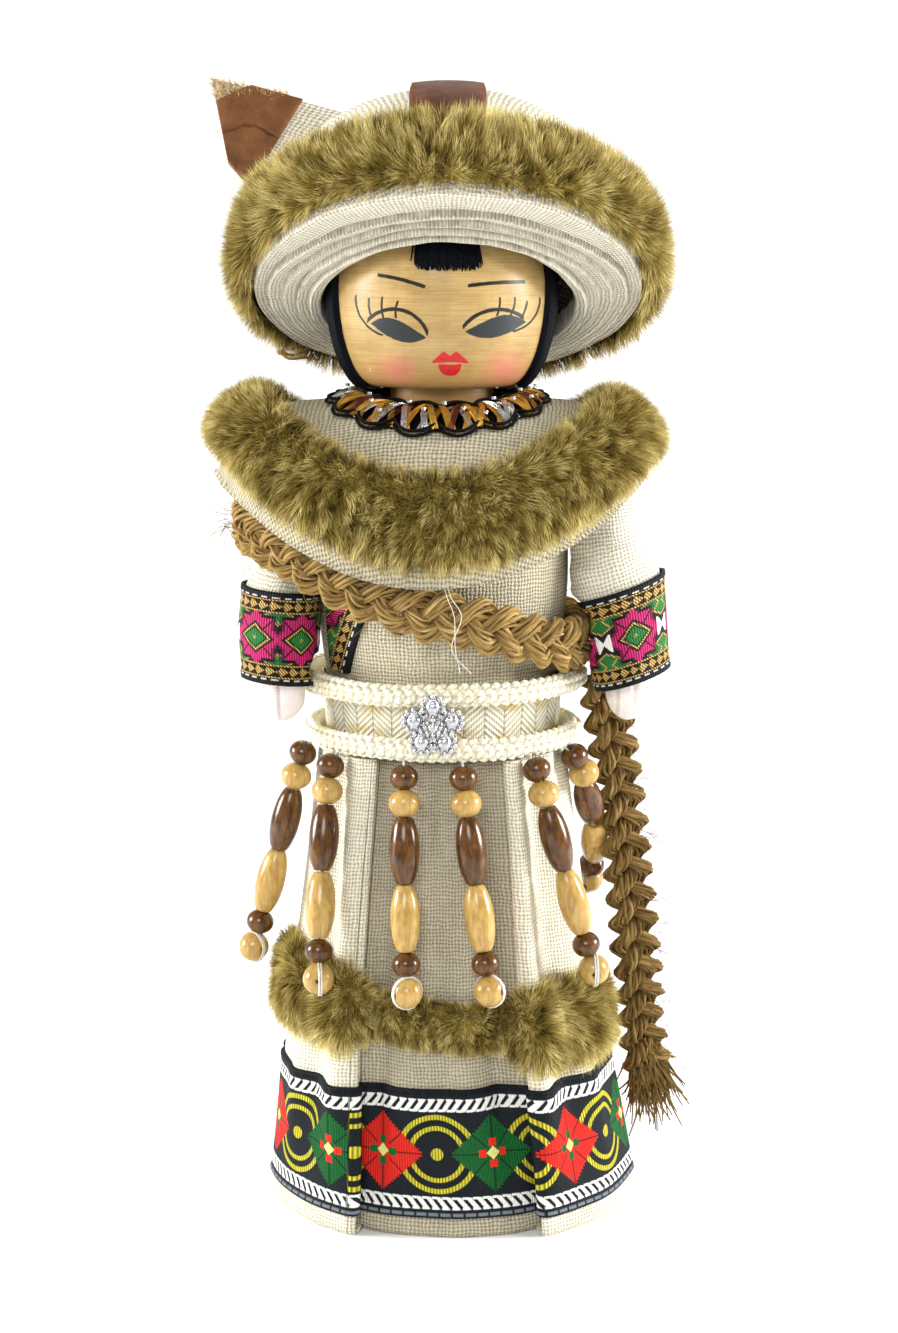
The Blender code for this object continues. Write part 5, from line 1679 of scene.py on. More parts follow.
def make_hair():
    """Black strands over the sides and the back of the head."""
    hair = Sewing()
    part = radians(HAIR_PART)
    count = 420
    angles = [blend(part, 2.0 * pi - part, index / count) for index in range(count + 1)]
    levels = 36
    rows = []
    for angle in angles:
        ridge = (0.00022 * wander((angle * 30.0, 0.0, 0.0), 1.0)
                 + 0.00012 * wander((angle * 80.0, 3.0, 0.0), 1.0))
        edge = min(1.0, min(angle - part, 2.0 * pi - part - angle) / radians(2.0))
        swell = sqrt(max(0.0, 1.0 - (1.0 - edge) ** 2))
        row = []
        for level in range(levels + 1):
            z = blend(CHIN_Z + CHIN_DROP * 0.03, HEAD_CENTRE.z + HEAD_RADIUS * 0.60, level / levels)
            hang = 0.00010 * wander((angle * 26.0, level * 0.2, 0.0), 1.0, 4.0)
            row.append(head_point(angle, z, 0.0001 + (HAIR_THICK + 0.0005 + ridge + hang) * swell))
        rows.append(row)

    def place(row, column):
        return row * 100.0 / count, column * 30.0 / levels

    hair.skin(rows, place)
    under = [[head_point(angle, CHIN_Z + CHIN_DROP * 0.03, blend(0.0001, HAIR_THICK + 0.0005, part_in))
              for part_in in (0.0, 1.0)] for angle in angles]
    hair.skin(under, lambda row, column: (row * 0.24, column * 1.0))
    dress(hair.make("hair_black", HAIR), "hair")


def make_fringe():
    """Cut strands that come out from under the hat."""
    rng = np.random.default_rng(31)
    fringe = Sewing()
    top = HEAD_CENTRE.z + HEAD_RADIUS * 0.60
    half = FRINGE_WIDTH / 2.0 / HEAD_RADIUS
    shift = 0.0013 / HEAD_RADIUS
    for layer in range(4):
        count = 84
        for index in range(count):
            share = 2.0 * (index + 0.5) / count - 1.0
            if abs(share) > 0.84 and (index + layer) % 2:
                continue
            angle = shift + half * share * 1.06 + float(rng.normal(0.0, 0.003))
            slip = float(rng.normal(0.0, 0.006 + 0.016 * abs(share) ** 4))
            length = (FRINGE_LENGTH + 0.0014) * float(rng.uniform(0.84, 1.07))
            length *= 1.0 - 0.06 * abs(share) ** 3
            line = []
            for step in range(9):
                along = step / 8.0
                lift = 0.00016 + 0.00016 * layer + 0.0004 * (1.0 - along) ** 2
                line.append(head_point(angle + slip * along, top - length * along, lift))
            fringe.tube(line, lambda along: 0.00021 * (1.0 - 0.45 * along ** 4), 5, phase=index * 1.3)
    dress(fringe.make("fringe_strands", HAIR), "fringe")


HAIR = black_hair()
make_head()
make_hair()
make_fringe()


# Hat

def hat_frame():
    lean = Matrix.Rotation(radians(-HAT_TILT), 4, "X")
    return Matrix.Translation(HEAD_CENTRE + Vector((HAT_SHIFT, 0.0, 0.0))) @ lean


def hat_hole():
    lowest = HEAD_CENTRE.z - CHIN_DROP * 0.66
    back = hypot(head_radius(lowest), HEAD_CENTRE.z - lowest) + HAIR_THICK + 3.0 * GAP
    front = HEAD_RADIUS + 4.0 * GAP
    return (back + front) / 2.0 + abs(HAT_SHIFT), (back - front) / 2.0


def crown_radius_share(rise):
    return max(0.0, 1.0 - rise ** CROWN_SQUARENESS) ** (1.0 / CROWN_SQUARENESS)


def hat_point(angle, share_in, height):
    hole_radius, hole_back = hat_hole()
    half_width = blend(BRIM_HALF_WIDTH, hole_radius, share_in)
    half_depth = blend(BRIM_HALF_DEPTH, hole_radius, share_in)
    point = around(0.0, half_width, half_depth, angle, height)
    point.y += hole_back * share_in
    return point


def crown_point(angle, height, offset=0.0):
    share = crown_radius_share(max(0.0, height - GAP) / CROWN_HEIGHT)
    return around(0.0, BRIM_HALF_WIDTH * share + offset, BRIM_HALF_DEPTH * share + offset, angle, height)


HAT = hat_frame()
HAT_LINEN = hat_linen()


def fold_edges(angle):
    """Where the brim's folds begin, as shares from its outer edge in; they bunch up at the front."""
    front = smoothstep((cos(angle) - 0.15) / 0.85)
    return [blend(side, ahead, front) for side, ahead in zip(FOLDS_AT_SIDE, FOLDS_AT_FRONT)]


def make_hat_brim():
    """Linen folds stitched one over the other; each is a rounded lip with a crease beside it."""
    brim = Sewing()
    angles = turn_list(280)
    steps = (0.0, 0.03, 0.07, 0.12, 0.20, 0.34, 0.52, 0.75, 0.92, 1.0)
    folds = len(FOLDS_AT_SIDE) - 1
    rows = [[] for _ in range(folds * len(steps) + 4)]
    for angle in angles:
        edges = fold_edges(angle)
        front = max(0.0, cos(angle))
        lifted = BRIM_FRONT_LIFT * front * front
        rows[0].append(HAT @ hat_point(angle, 0.05, lifted + 0.0016))
        rows[1].append(HAT @ hat_point(angle, 0.0, lifted + 0.0008))
        index = 2
        for fold in range(folds):
            sag = 0.00035 * wander((sin(angle) * 3.0, cos(angle) * 3.0, fold * 5.0), 0.7, 8.0)
            shift = 0.024 * wander((sin(angle) * 2.0, cos(angle) * 2.0, fold * 3.0), 0.8, 6.0) * (fold > 0)
            for across in steps:
                share = blend(edges[fold], edges[fold + 1], across) + shift * (1.0 - across)
                rise = sqrt(max(0.0, 1.0 - (1.0 - min(1.0, across / 0.22)) ** 2))
                lip = rise * (1.0 - 0.60 * across)
                height = lifted - BRIM_STEP * 0.7 * (fold + across * 0.35) - FOLD_RISE * lip
                share = min(1.0, share) * (1.0 - HOLE_EASE * front)
                rows[index].append(HAT @ hat_point(angle, share, height + sag))
                index += 1
        inner = 1.0 - HOLE_EASE * front
        rows[index].append(HAT @ hat_point(angle, inner, lifted - BRIM_STEP * folds * 0.7))
        rows[index + 1].append(HAT @ hat_point(angle, inner, 0.0))

    def place(row, column):
        angle = 2.0 * pi * column / len(angles)
        fold, step = divmod(row - 2, len(steps))
        if row < 2 or fold >= folds:
            return angle * 32.0, FOLD_PLACE * 0.5 + row * 0.4
        edges = fold_edges(angle)
        width = (edges[fold + 1] - edges[fold]) * BRIM_REACH / MM
        return angle * 32.0, FOLD_PLACE * fold + steps[step] * width

    brim.skin(rows, place, ring_columns=True)
    dress(brim.make("hat_brim_folds", brim_linen(), sharp=60.0), "hat_brim")

    rng = np.random.default_rng(61)
    frayed = Sewing()
    for _ in range(260):
        angle = float(rng.uniform(-1.5, 1.5))
        lifted = BRIM_FRONT_LIFT * cos(angle) ** 2
        foot = HAT @ hat_point(angle, 0.0, lifted + float(rng.uniform(-0.0006, 0.0010)))
        out = Vector((sin(angle), -cos(angle), float(rng.normal(0.3, 0.6))))
        along = Vector((cos(angle), sin(angle), 0.0)) * float(rng.normal(0.0, 1.4))
        size = float(rng.uniform(0.0007, 0.0018))
        tip = foot + (out + along).normalized() * size
        frayed.tube([foot, foot.lerp(tip, 0.5) + Vector((0.0, 0.0, 0.0002)), tip], 0.00008, 4)
    dress(frayed.make("hat_brim_threads", WHITE_THREAD))

    back = HAT @ hat_point(radians(-128.0), 0.0, -0.0030)
    loop = [back + Vector(step) * MM for step in ((2.0, 3.0, 2.0), (0.0, 0.0, 0.0), (-2.0, -1.6, -0.6),
                                                  (-4.2, -2.0, 0.0), (-2.6, -2.4, -1.2), (0.6, -2.0, -1.0),
                                                  (2.0, -1.0, -1.4))]
    glued = Sewing()
    glued.tube(open_curve(loop, 6), 0.00032, 6)
    glued.ball(loop[3], 0.0008, squash=(1.2, 0.8, 0.7))
    dress(glued.make("hat_glued_thread", JUTE))


def make_hat_crown():
    crown = Sewing()
    angles = turn_list(160)
    rows = []
    levels = [sin(radians(90.0 * step / 40.0)) for step in range(40)]
    for level in levels:
        height = GAP + CROWN_HEIGHT * level * 0.985
        row = []
        for angle in angles:
            pucker = 0.0004 * wander((sin(angle) * 3.0, cos(angle) * 3.0, level * 4.0), 0.8, 3.0)
            row.append(HAT @ crown_point(angle, height, pucker))
        rows.append(row)

    def place(row, column):
        turn = 2.0 * pi * column / len(angles)
        reach = BRIM_HALF_WIDTH / MM * (1.0 - row / len(rows))
        return reach * sin(turn), reach * cos(turn)

    crown.skin(rows, place, ring_columns=True)
    centre = HAT @ Vector((0.0, 0.0, GAP + CROWN_HEIGHT * 0.99))
    crown.skin([rows[-1], [centre] * len(angles)], lambda row, column: place(len(rows) - 1 + row, column),
               ring_columns=True)
    piece = dress(crown.make("hat_crown_linen", HAT_LINEN), "hat_crown")


def make_hat_fur():
    high = HAT_FUR_HEIGHT

    def body(angle, share):
        front = max(0.0, cos(angle))
        low = blend(-BRIM_THICK * 0.5, BRIM_FRONT_LIFT + 0.0004, front)
        lump = 0.14 * wander((sin(angle) * 5.0, cos(angle) * 5.0, share * 3.0), 0.6, 2.0)
        offset = 0.0006 + HAT_FUR_PILE * 0.42 * bulge(share) * (1.0 + lump)
        return HAT @ crown_point(angle, blend(low, high, share), offset)

    sheet = band_sheet(body, 260, [step / 16.0 for step in range(17)])
    dress(make_backing("hat_fur_backing", sheet, FUR))

    def length(share_u, share_v):
        front = np.maximum(0.0, np.cos(share_u * 2.0 * pi))
        return 0.0046 * (1.0 - 0.35 * front * (1.0 - share_v))

    def lean(share_u, share_v):
        front = np.maximum(0.0, np.cos(share_u * 2.0 * pi))
        return (share_v - 0.5) * 1.2 + 0.80 * front - 0.15

    centre = HAT @ Vector((0.0, 0.0, high * 0.4))
    pile = make_pile("hat_fur_pile", sheet, length, lean, FUR_HAIRS, 22, FUR, tuple(centre), fall=0.08)
    dress(pile, "hat_fur")


def make_hat_strip():
    """A leather strip over the crown's front, rounded at its edges."""
    half = STRIP_WIDTH / 2.0
    low = HAT_FUR_HEIGHT * 0.96
    strip = Sewing()
    rows = []
    for step in range(41):
        share = step / 40.0
        height = blend(low, GAP + CROWN_HEIGHT * 0.95, share ** 0.8)
        reach = BRIM_HALF_WIDTH * crown_radius_share((height - GAP) / CROWN_HEIGHT)
        lift = 3.0 * GAP + LEATHER_THICK * (1.0 + 0.8 * share)
        row = []
        for index in range(17):
            part = index / 8.0 - 1.0
            angle = asin(max(-1.0, min(1.0, half * part / reach)))
            edge = sqrt(max(0.0, 1.0 - max(0.0, (abs(part) - 0.86) / 0.14) ** 2))
            wear = 0.00012 * wander((part * 3.0, share * 8.0, 0.0), 0.7)
            offset = 2.0 * GAP + (lift - 2.0 * GAP) * edge + wear * edge
            row.append(HAT @ crown_point(angle, height, offset))
        rows.append(row)
    strip.skin(rows, lambda row, column: (column, row))
    dress(strip.make("hat_strip_leather", STRIP_LEATHER), "hat_strip")


def flap_outline():
    """The flap's inner line, hidden in the crown, and its outer line from the heel to the tip."""
    foot = HAT_FUR_HEIGHT * 1.12
    top = GAP + CROWN_HEIGHT
    reach = BRIM_HALF_WIDTH * crown_radius_share((foot - GAP) / CROWN_HEIGHT)
    root = Vector((-reach, 0.0, foot))
    crest = Vector((FLAP_CREST_X, 0.0, top))
    tip = Vector((FLAP_TIP_X, 0.0, FLAP_TIP_UP))
    heel = Vector((FLAP_HEEL_X, 0.0, FLAP_HEEL_UP))
    shares = (0.0, 0.25, 0.5, 0.75, 1.0)
    return [root.lerp(crest, share) for share in shares], [heel.lerp(tip, share) for share in shares]


def between(points, share):
    """A point at a share along five evenly spread points."""
    place = min(3.999, max(0.0, share * 4.0))
    base = int(place)
    return points[base].lerp(points[base + 1], place - base)


def plate(sewing, corner, front, back, columns=28, rows=28, slot=0, inset=0.0003):
    """A soft-edged slab; corner(across, up) is its outline, front(across, up) and back its two faces."""
    layers = []
    for face, thin in ((front, 1.0), (back, -1.0)):
        sheet = []
        for i in range(rows + 1):
            row = []
            for j in range(columns + 1):
                up, across = i / rows, j / columns
                point = corner(across, up)
                rim = min(min(up, 1.0 - up) * rows, min(across, 1.0 - across) * columns)
                soft = inset * (1.0 - min(1.0, rim)) * thin
                row.append(HAT @ Vector((point.x, face(across, up) + soft, point.z)))
            sheet.append(row)
        layers.append(sheet)
    front_sheet, back_sheet = layers
    sewing.skin(front_sheet, lambda row, column: (column * 0.8, row * 0.8), slot=slot)
    sewing.skin([row[::-1] for row in back_sheet], lambda row, column: (column * 0.8, row * 0.8), slot=slot)
    edges = (
        ([row[0] for row in front_sheet], [row[0] for row in back_sheet]),
        ([row[-1] for row in back_sheet], [row[-1] for row in front_sheet]),
        (back_sheet[0], front_sheet[0]),
        (front_sheet[-1], back_sheet[-1]),
    )
    for near, far in edges:
        sewing.skin([near, far], lambda row, column: (column * 0.8, row * 1.0), slot=slot)


def make_hat_flap():
    """The flap's linen, its leather facing with a crack, and pale hide fur at its tip."""
    inner, outer = flap_outline()
    half = FLAP_THICK / 2.0

    def corner(across, up):
        return between(inner, up).lerp(between(outer, up), across)

    def wave(across, up):
        return 0.0005 * wander((across * 2.0, up * 2.0, 0.0), 0.8, 3.0) * across

    linen_plate = Sewing()
    plate(linen_plate, corner, lambda a, b: -half + wave(a, b), lambda a, b: half + wave(a, b))
    dress(linen_plate.make("hat_flap_linen", HAT_LINEN, sharp=70.0), "hat_flap")

    start = 1.0 - FLAP_LEATHER_SHARE

    def leather_corner(across, up):
        top = min(1.0, 1.0 - 0.30 * max(0.0, across - 0.55) / 0.45)
        return corner(blend(start, 1.0, across), up * top)

    def face(across, up):
        crack = 0.52 + 0.05 * sin(across * 5.0) + 0.02 * wander((across * 9.0, 0.0, 0.0), 1.0)
        groove = max(0.0, 1.0 - abs(up - crack) / 0.022)
        ridge = max(0.0, 1.0 - abs(up - crack - 0.03) / 0.03)
        relief = 0.00055 * groove - 0.00022 * ridge
        return -half - GAP - LEATHER_THICK + relief + wave(across, up)

    leather_plate = Sewing()
    plate(leather_plate, leather_corner, face, lambda a, b: -half - 0.0001 + wave(a, b), 60, 90)
    dress(leather_plate.make("hat_flap_facing", FLAP_LEATHER, sharp=80.0), "hat_flap_leather")

    rng = np.random.default_rng(41)
    tuft = Sewing()
    for _ in range(420):
        across = float(rng.uniform(0.55, 1.0))
        up = blend(1.0 - 0.30 * (across - 0.55) / 0.45, 1.0, float(rng.uniform(-0.08, 1.0)))
        point = corner(across, min(1.0, up))
        foot = HAT @ Vector((point.x, -half - 0.0002 + wave(across, up), point.z))
        grow = Vector((-0.35, -0.30, 0.55)) + Vector(rng.normal(0.0, 0.35, 3))
        size = float(rng.uniform(0.0012, 0.0026))
        tip = foot + grow.normalized() * size
        tuft.tube([foot, foot.lerp(tip, 0.5), tip], lambda share: 0.00007 * (1.0 - 0.8 * share), 3)
    piece = tuft.make("hat_flap_hide", HIDE)
    layer = piece.data.attributes.new("pile", "FLOAT_COLOR", "POINT")
    values = []
    for index in range(len(piece.data.vertices)):
        values += [(index % 9) / 9.0, 0.6, ((index // 9) * 37 % 100) / 100.0, 1.0]
    layer.data.foreach_set("color", values)
    dress(piece)


STRIP_LEATHER = leather("strip_leather", (58, 28, 12), (122, 70, 36))
FLAP_LEATHER = leather("flap_leather", (86, 52, 30), (140, 94, 58))
HIDE = hide_fur()
make_hat_brim()
make_hat_crown()
make_hat_fur()
make_hat_strip()
make_hat_flap()


# Cape and neck trim

def cape_curve(angle, share):
    side = sin(angle) ** 2
    neck_z = SHOULDER_Z + NECK_LENGTH * 0.30
    shoulder_x = CHEST_HALF_WIDTH + CAPE_SHOULDER_EASE
    out = (sin(angle), -cos(angle))
    stages = (
        (CAPE_NECK_RADIUS, CAPE_NECK_RADIUS, neck_z),
        (shoulder_x, CAPE_FRONT * 0.76, neck_z + CAPE_SHOULDER_RISE * side),
        (CAPE_HALF_WIDTH * 0.96, CAPE_FRONT * 0.97,
         neck_z - blend(CAPE_FRONT_DROP * 0.50, CAPE_SIDE_DROP * 0.16, side)),
        (CAPE_HALF_WIDTH, CAPE_FRONT, neck_z - blend(CAPE_FRONT_DROP, CAPE_SIDE_DROP, side)),
    )
    left = 1.0 - share
    weights = (left ** 3, 3.0 * share * left ** 2, 3.0 * share ** 2 * left, share ** 3)
    x = sum(weight * stage[0] for weight, stage in zip(weights, stages)) * out[0]
    y = sum(weight * stage[1] for weight, stage in zip(weights, stages)) * out[1]
    z = sum(weight * stage[2] for weight, stage in zip(weights, stages))
    swing = smoothstep(share / 0.6)
    return Vector((blend(BODY_SHIFT, CAPE_SHIFT, swing) + x, y, z))


def cape_normal(angle, share):
    step = 0.004
    low = max(0.0, share - step)
    high = min(1.0, share + step)
    outward = cape_curve(angle, high) - cape_curve(angle, low)
    sideways = cape_curve(angle + step, share) - cape_curve(angle - step, share)
    return outward.cross(sideways).normalized()


def cape_point(angle, share, offset=0.0):
    return cape_curve(angle, share) + cape_normal(angle, share) * offset


def cape_run(angle):
    points = [cape_curve(angle, index / 12.0) for index in range(13)]
    return sum((far - near).length for near, far in zip(points, points[1:]))


def make_cape():
    cape = Sewing()
    angles = turn_list(220)
    shares = [blend(0.0, 1.03, step / 36.0) for step in range(37)]
    upper = []
    lower = []
    for share in shares:
        ring_up = []
        ring_down = []
        for angle in angles:
            fold = 0.0005 * share * wander((sin(angle) * 4.0, cos(angle) * 4.0, share * 3.0), 0.9, 7.0)
            ring_up.append(cape_point(angle, share, fold))
            ring_down.append(cape_point(angle, share, fold - CAPE_THICK))
        upper.append(ring_up)
        lower.append(ring_down)
    rows = upper + lower[::-1]

    def place(row, column):
        last_row = 2 * len(shares) - 1
        share = shares[row] if row < len(shares) else shares[last_row - min(row, last_row)]
        turn = 2.0 * pi * column / len(angles)
        reach = 11.8 + 34.0 * share
        return reach * sin(turn), reach * cos(turn)

    cape.skin(rows, place, ring_rows=True, ring_columns=True)
    piece = dress(cape.make("cape_linen", LINEN), "cape")


def make_cape_fur():
    run = cape_run(0.0)
    middle_share = 0.955 - CAPE_FUR_BAND / 2.0 / run

    def body(angle, share):
        half = CAPE_FUR_BAND / 2.0 / cape_run(angle)
        place = 2.0 * share - 1.0
        side = sin(angle) ** 2
        left = max(0.0, -sin(angle)) ** 2
        height = blend(CAPE_FUR_PILE, CAPE_FUR_SIDE_PILE, side)
        lump = 0.13 * wander((sin(angle) * 5.0, cos(angle) * 5.0, share * 3.0), 0.6, 9.0)
        lift = 0.0005 + height * 0.45 * bulge(share) * (1.0 + lump)
        return cape_point(angle, middle_share + half * place * 0.92 - 0.05 * side - 0.06 * left, lift)

    sheet = band_sheet(body, 260, [step / 16.0 for step in range(17)])
    dress(make_backing("cape_fur_backing", sheet, FUR))

    def length(share_u, share_v):
        side = np.sin(share_u * 2.0 * pi) ** 2
        return 0.0035 + 0.0003 * side - 0.0006 * np.maximum(0.0, share_v - 0.7) / 0.3

    def lean(share_u, share_v):
        return (share_v - 0.5) * 0.9 + 0.45

    centre = (CAPE_SHIFT, 0.0, SHOULDER_Z - 0.030)
    pile = make_pile("cape_fur_pile", sheet, length, lean, FUR_HAIRS, 23, FUR, centre, fall=0.12)
    dress(pile, "cape_fur")


def trim_share(angle, across):
    """The neck trim lies close round the neck and dips at the front; across runs 0 to 1 outwards."""
    front = smoothstep((cos(angle) + 0.15) / 1.15)
    return blend(blend(0.02, 0.09, front), blend(0.16, 0.35, front), across)


def make_neck_trim():
    """Black scalloped cords, gold wraps and silver strips that cross between them."""
    trim = Sewing()
    count = 600
    for doubled in (0.0, 0.06):
        outer = []
        inner = []
        for angle in turn_list(count):
            wave = abs(sin(angle * SCALLOPS / 2.0)) ** 0.8
            lift = doubled * 0.012
            outer.append(cape_point(angle, trim_share(angle, 0.76 + 0.26 * wave - doubled), 0.0010 + lift))
            inner.append(cape_point(angle, trim_share(angle, 0.22 - 0.22 * wave + doubled), 0.0014 + lift))
        for line in (outer, inner):
            trim.tube(line, 0.00034, 6, closed=True)
    trim.skin([[cape_point(angle, trim_share(angle, across), 0.0006) for angle in turn_list(count)]
               for across in (0.04, 0.30, 0.60, 0.86)], ring_columns=True)
    for layer, wraps in ((0, SCALLOPS * 5), (1, SCALLOPS * 3)):
        for index in range(wraps):
            base = 2.0 * pi * (index + 0.4 * layer) / wraps
            way = 1.0 if (index + layer) % 2 else -1.0
            slot = (1, 1, 2, 1, 3, 1, 2)[(index * 3 + layer) % 7]
            for thread in range(3):
                angle = base + (thread - 1.0) * 0.016
                line = []
                for step in range(9):
                    along = step / 8.0
                    turn = angle + way * 0.060 * (along - 0.5) * 2.0
                    wave = abs(sin(turn * SCALLOPS / 2.0))
                    across = blend(0.12 - 0.08 * wave, 0.84 + 0.08 * wave, along)
                    lift = 0.0008 + 0.0005 * layer + 0.0015 * sin(pi * along)
                    line.append(cape_point(turn, trim_share(turn, across), lift))
                trim.tube(line, 0.00025, 4, slot=slot, squash=0.8, phase=thread)
    for index in range(SCALLOPS * 2):
        angle = 2.0 * pi * (index + 0.25) / (SCALLOPS * 2)
        spot = cape_point(angle, trim_share(angle, 0.30 + 0.20 * (index % 3)), 0.0031)
        trim.ball(spot, 0.00055, slot=2, rings=3, sides=5)
    dress(trim.make("neck_trim_braid", BLACK_THREAD, GOLD, SILVER, RED_GOLD, sharp=40.0), "neck_trim")


make_cape()
make_cape_fur()
make_neck_trim()


# Arms

ARMS = {
    "left": {
        "side": -1.0,
        "slant": -0.10,
        "rows": (
            (0.08, 0.590, 0.00, 0.070, 0.09),
            (0.18, 0.600, 0.00, 0.130, 0.16),
            (0.36, 0.590, -0.04, 0.115, 0.15),
            (0.55, 0.600, -0.07, 0.110, 0.15),
            (0.66, 0.640, -0.11, 0.138, 0.16),
            (0.82, 0.650, -0.17, 0.142, 0.15),
            (1.00, 0.645, -0.21, 0.130, 0.13),
        ),
    },
    "right": {
        "side": 1.0,
        "slant": 0.34,
        "rows": (
            (0.10, 0.560, 0.00, 0.060, 0.09),
            (0.20, 0.570, 0.00, 0.115, 0.15),
            (0.36, 0.590, -0.04, 0.140, 0.17),
            (0.55, 0.610, -0.07, 0.165, 0.17),
            (0.66, 0.640, -0.09, 0.170, 0.17),
            (0.82, 0.670, -0.13, 0.150, 0.16),
            (1.00, 0.705, -0.17, 0.125, 0.14),
        ),
    },
}


def arm_values(arm, drop_share):
    rows = arm["rows"]
    for upper, lower in zip(rows, rows[1:]):
        if drop_share <= lower[0]:
            share = (drop_share - upper[0]) / (lower[0] - upper[0])
            return [blend(first, second, share) * WRIST_DROP for first, second in zip(upper[1:], lower[1:])]
    return [value * WRIST_DROP for value in rows[-1][1:]]


def dressed_extra(side, z):
    belt = 3.0 * GAP + TAPE_THICK + 2.0 * BELT_CORD_RADIUS
    belt_top = TAPE_TOP + BELT_CORD_RADIUS
    extra = belt * smoothstep((belt_top + PINCH_RUN - z) / PINCH_RUN + 0.2)
    if side > 0.0:
        sash_top = TAPE_TOP + SASH_HIP_RISE + SASH_WIDTH / 2.0
        pinch = smoothstep((sash_top + PINCH_RUN - z) / PINCH_RUN + 0.2)
        extra = max(extra, (SASH_THICK + 5.0 * GAP) * pinch)
    return extra


def arm_ring(arm, drop_share, offset, drop=0.0, thinner=1.0, count=84):
    centre_x, centre_y, half_width, half_depth = arm_values(arm, drop_share)
    middle_z = SHOULDER_Z - WRIST_DROP * drop_share - drop
    side = arm["side"]
    points = []
    for angle in turn_list(count):
        x = (half_width * thinner + offset) * sin(angle)
        y = centre_y - (half_depth * thinner + offset) * cos(angle)
        z = middle_z + arm["slant"] * x * smoothstep((drop_share - 0.3) / 0.3)
        world_x = side * centre_x + x
        extra = dressed_extra(side, z)
        body_width, body_depth = bodice_halves(z)
        swell = 1.0 - (y / (body_depth + extra)) ** 2
        clear = 3.0 * GAP + CUFF_THICK - offset
        if swell > 0.0:
            clear += (body_width + extra) * sqrt(swell)
            if side * (world_x - BODY_SHIFT) < clear:
                world_x = BODY_SHIFT + side * clear
        points.append(Vector((world_x, y, z)))
    return points


def make_arm(name):
    arm = ARMS[name]
    side = arm["side"]
    cuff_top = 1.0 - CUFF_HEIGHT / WRIST_DROP
    first = arm["rows"][0][0]
    levels = [blend(first, 0.995, step / 60.0) for step in range(61)]
    sleeve = Sewing()
    rows = []
    for share in levels:
        ring = arm_ring(arm, share, 0.0)
        row = []
        centre = sum(ring, Vector()) / len(ring)
        for point in ring:
            out = (point - centre)
            out.z = 0.0
            crease = 0.00055 * wander((point.x, point.y, point.z * 2.2), 0.008, 3.0 + side)
            crease *= 1.0 - smoothstep((share - cuff_top + 0.04) / 0.05)
            row.append(point + out.normalized() * crease)
        rows.append(row)
    start = sleeve.skin(rows, lambda row, column: (column * 0.62, levels[row] * 52.0), ring_columns=True)
    sleeve.cap([start + column for column in range(84)])
    last = start + (len(rows) - 1) * 84
    sleeve.cap([last + column for column in range(84)][::-1])
    # the sleeves take the linen's lighter copy, painted light
    piece = dress(sleeve.make("sleeve_%s_stuffed" % name, LIT_SLEEVE_LINEN), "sleeve_" + name)

    cuff = Sewing()
    shares = [0.0, 0.0, 0.02, 0.05, 0.09] + [blend(0.12, 0.88, step / 10.0) for step in range(11)]
    shares += [0.91, 0.95, 0.98, 1.0, 1.0]
    rows = []
    for index, share in enumerate(shares):
        inner = index in (0, len(shares) - 1)
        edge = min(share, 1.0 - share)
        lift = 0.00015 if inner else CUFF_THICK + 0.00025 * (1.0 - smoothstep((edge - 0.06) / 0.05))
        rows.append(arm_ring(arm, blend(cuff_top, 1.0, share), GAP + lift))
    girth = sum((far - near).length for near, far in zip(rows[6], rows[6][1:] + rows[6][:1])) / MM
    turn_start = 7.5 if side < 0.0 else 2.0

    def place(row, column):
        return girth * column / 84.0 - turn_start - girth / 2.0, (1.0 - shares[row]) * CUFF_HEIGHT / MM

    cuff.skin(rows, place, ring_columns=True)
    dress(cuff.make("cuff_%s_woven" % name, CUFF_RIBBON), "cuff_" + name)

    hand = Sewing()
    rows = []
    steps = 26
    for step in range(steps + 1):
        share = step / steps
        thinner = 0.82 * (1.0 - share ** 2.1) ** 0.62 + 0.02
        rows.append(arm_ring(arm, 1.0, 0.0, GAP * 0.3 + HAND_LENGTH * share, thinner))
    for row in rows:
        centre = sum(row, Vector()) / len(row)
        for index, point in enumerate(row):
            turn = 2.0 * pi * index / len(row)
            seam = max(0.0, 1.0 - abs((turn + pi) % (2.0 * pi) - pi) / 0.10)
            point += (centre - point) * 0.10 * seam
    start = hand.skin(rows, ring_columns=True)
    hand.cap([start + column for column in range(84)])
    last = start + (len(rows) - 1) * 84
    hand.cap([last + column for column in range(84)][::-1])
    piece = dress(hand.make("hand_%s_mitt" % name, SATIN), "hand_" + name)


SATIN = satin()
for arm_name in ARMS:
    make_arm(arm_name)


# Bead strings

def skirt_point(angle, z, offset=0.0):
    return skirt_place(angle, sunk_share(angle), z, offset)


def dressed_offset(angle, z):
    low, high = skirt_fur_range(angle)
    edge = SKIRT_FUR_PILE * 0.5
    if low - edge < z < high + edge:
        return skirt_fur_pile(angle)
    return 0.0


BEADS = (
    (ROUND_BEAD, ROUND_BEAD * 0.86, "dark"),
    (PALE_BEAD, PALE_BEAD * 0.86, "pale"),
    (OVAL_BEAD, OVAL_LENGTH, "dark"),
    (OVAL_BEAD, OVAL_LENGTH, "pale"),
    (ROUND_BEAD, ROUND_BEAD * 0.86, "dark"),
    (PALE_BEAD, PALE_BEAD, "end"),
)
STRING_LENGTH = ROUND_BEAD * 0.1 + sum(length for _, length, _ in BEADS)


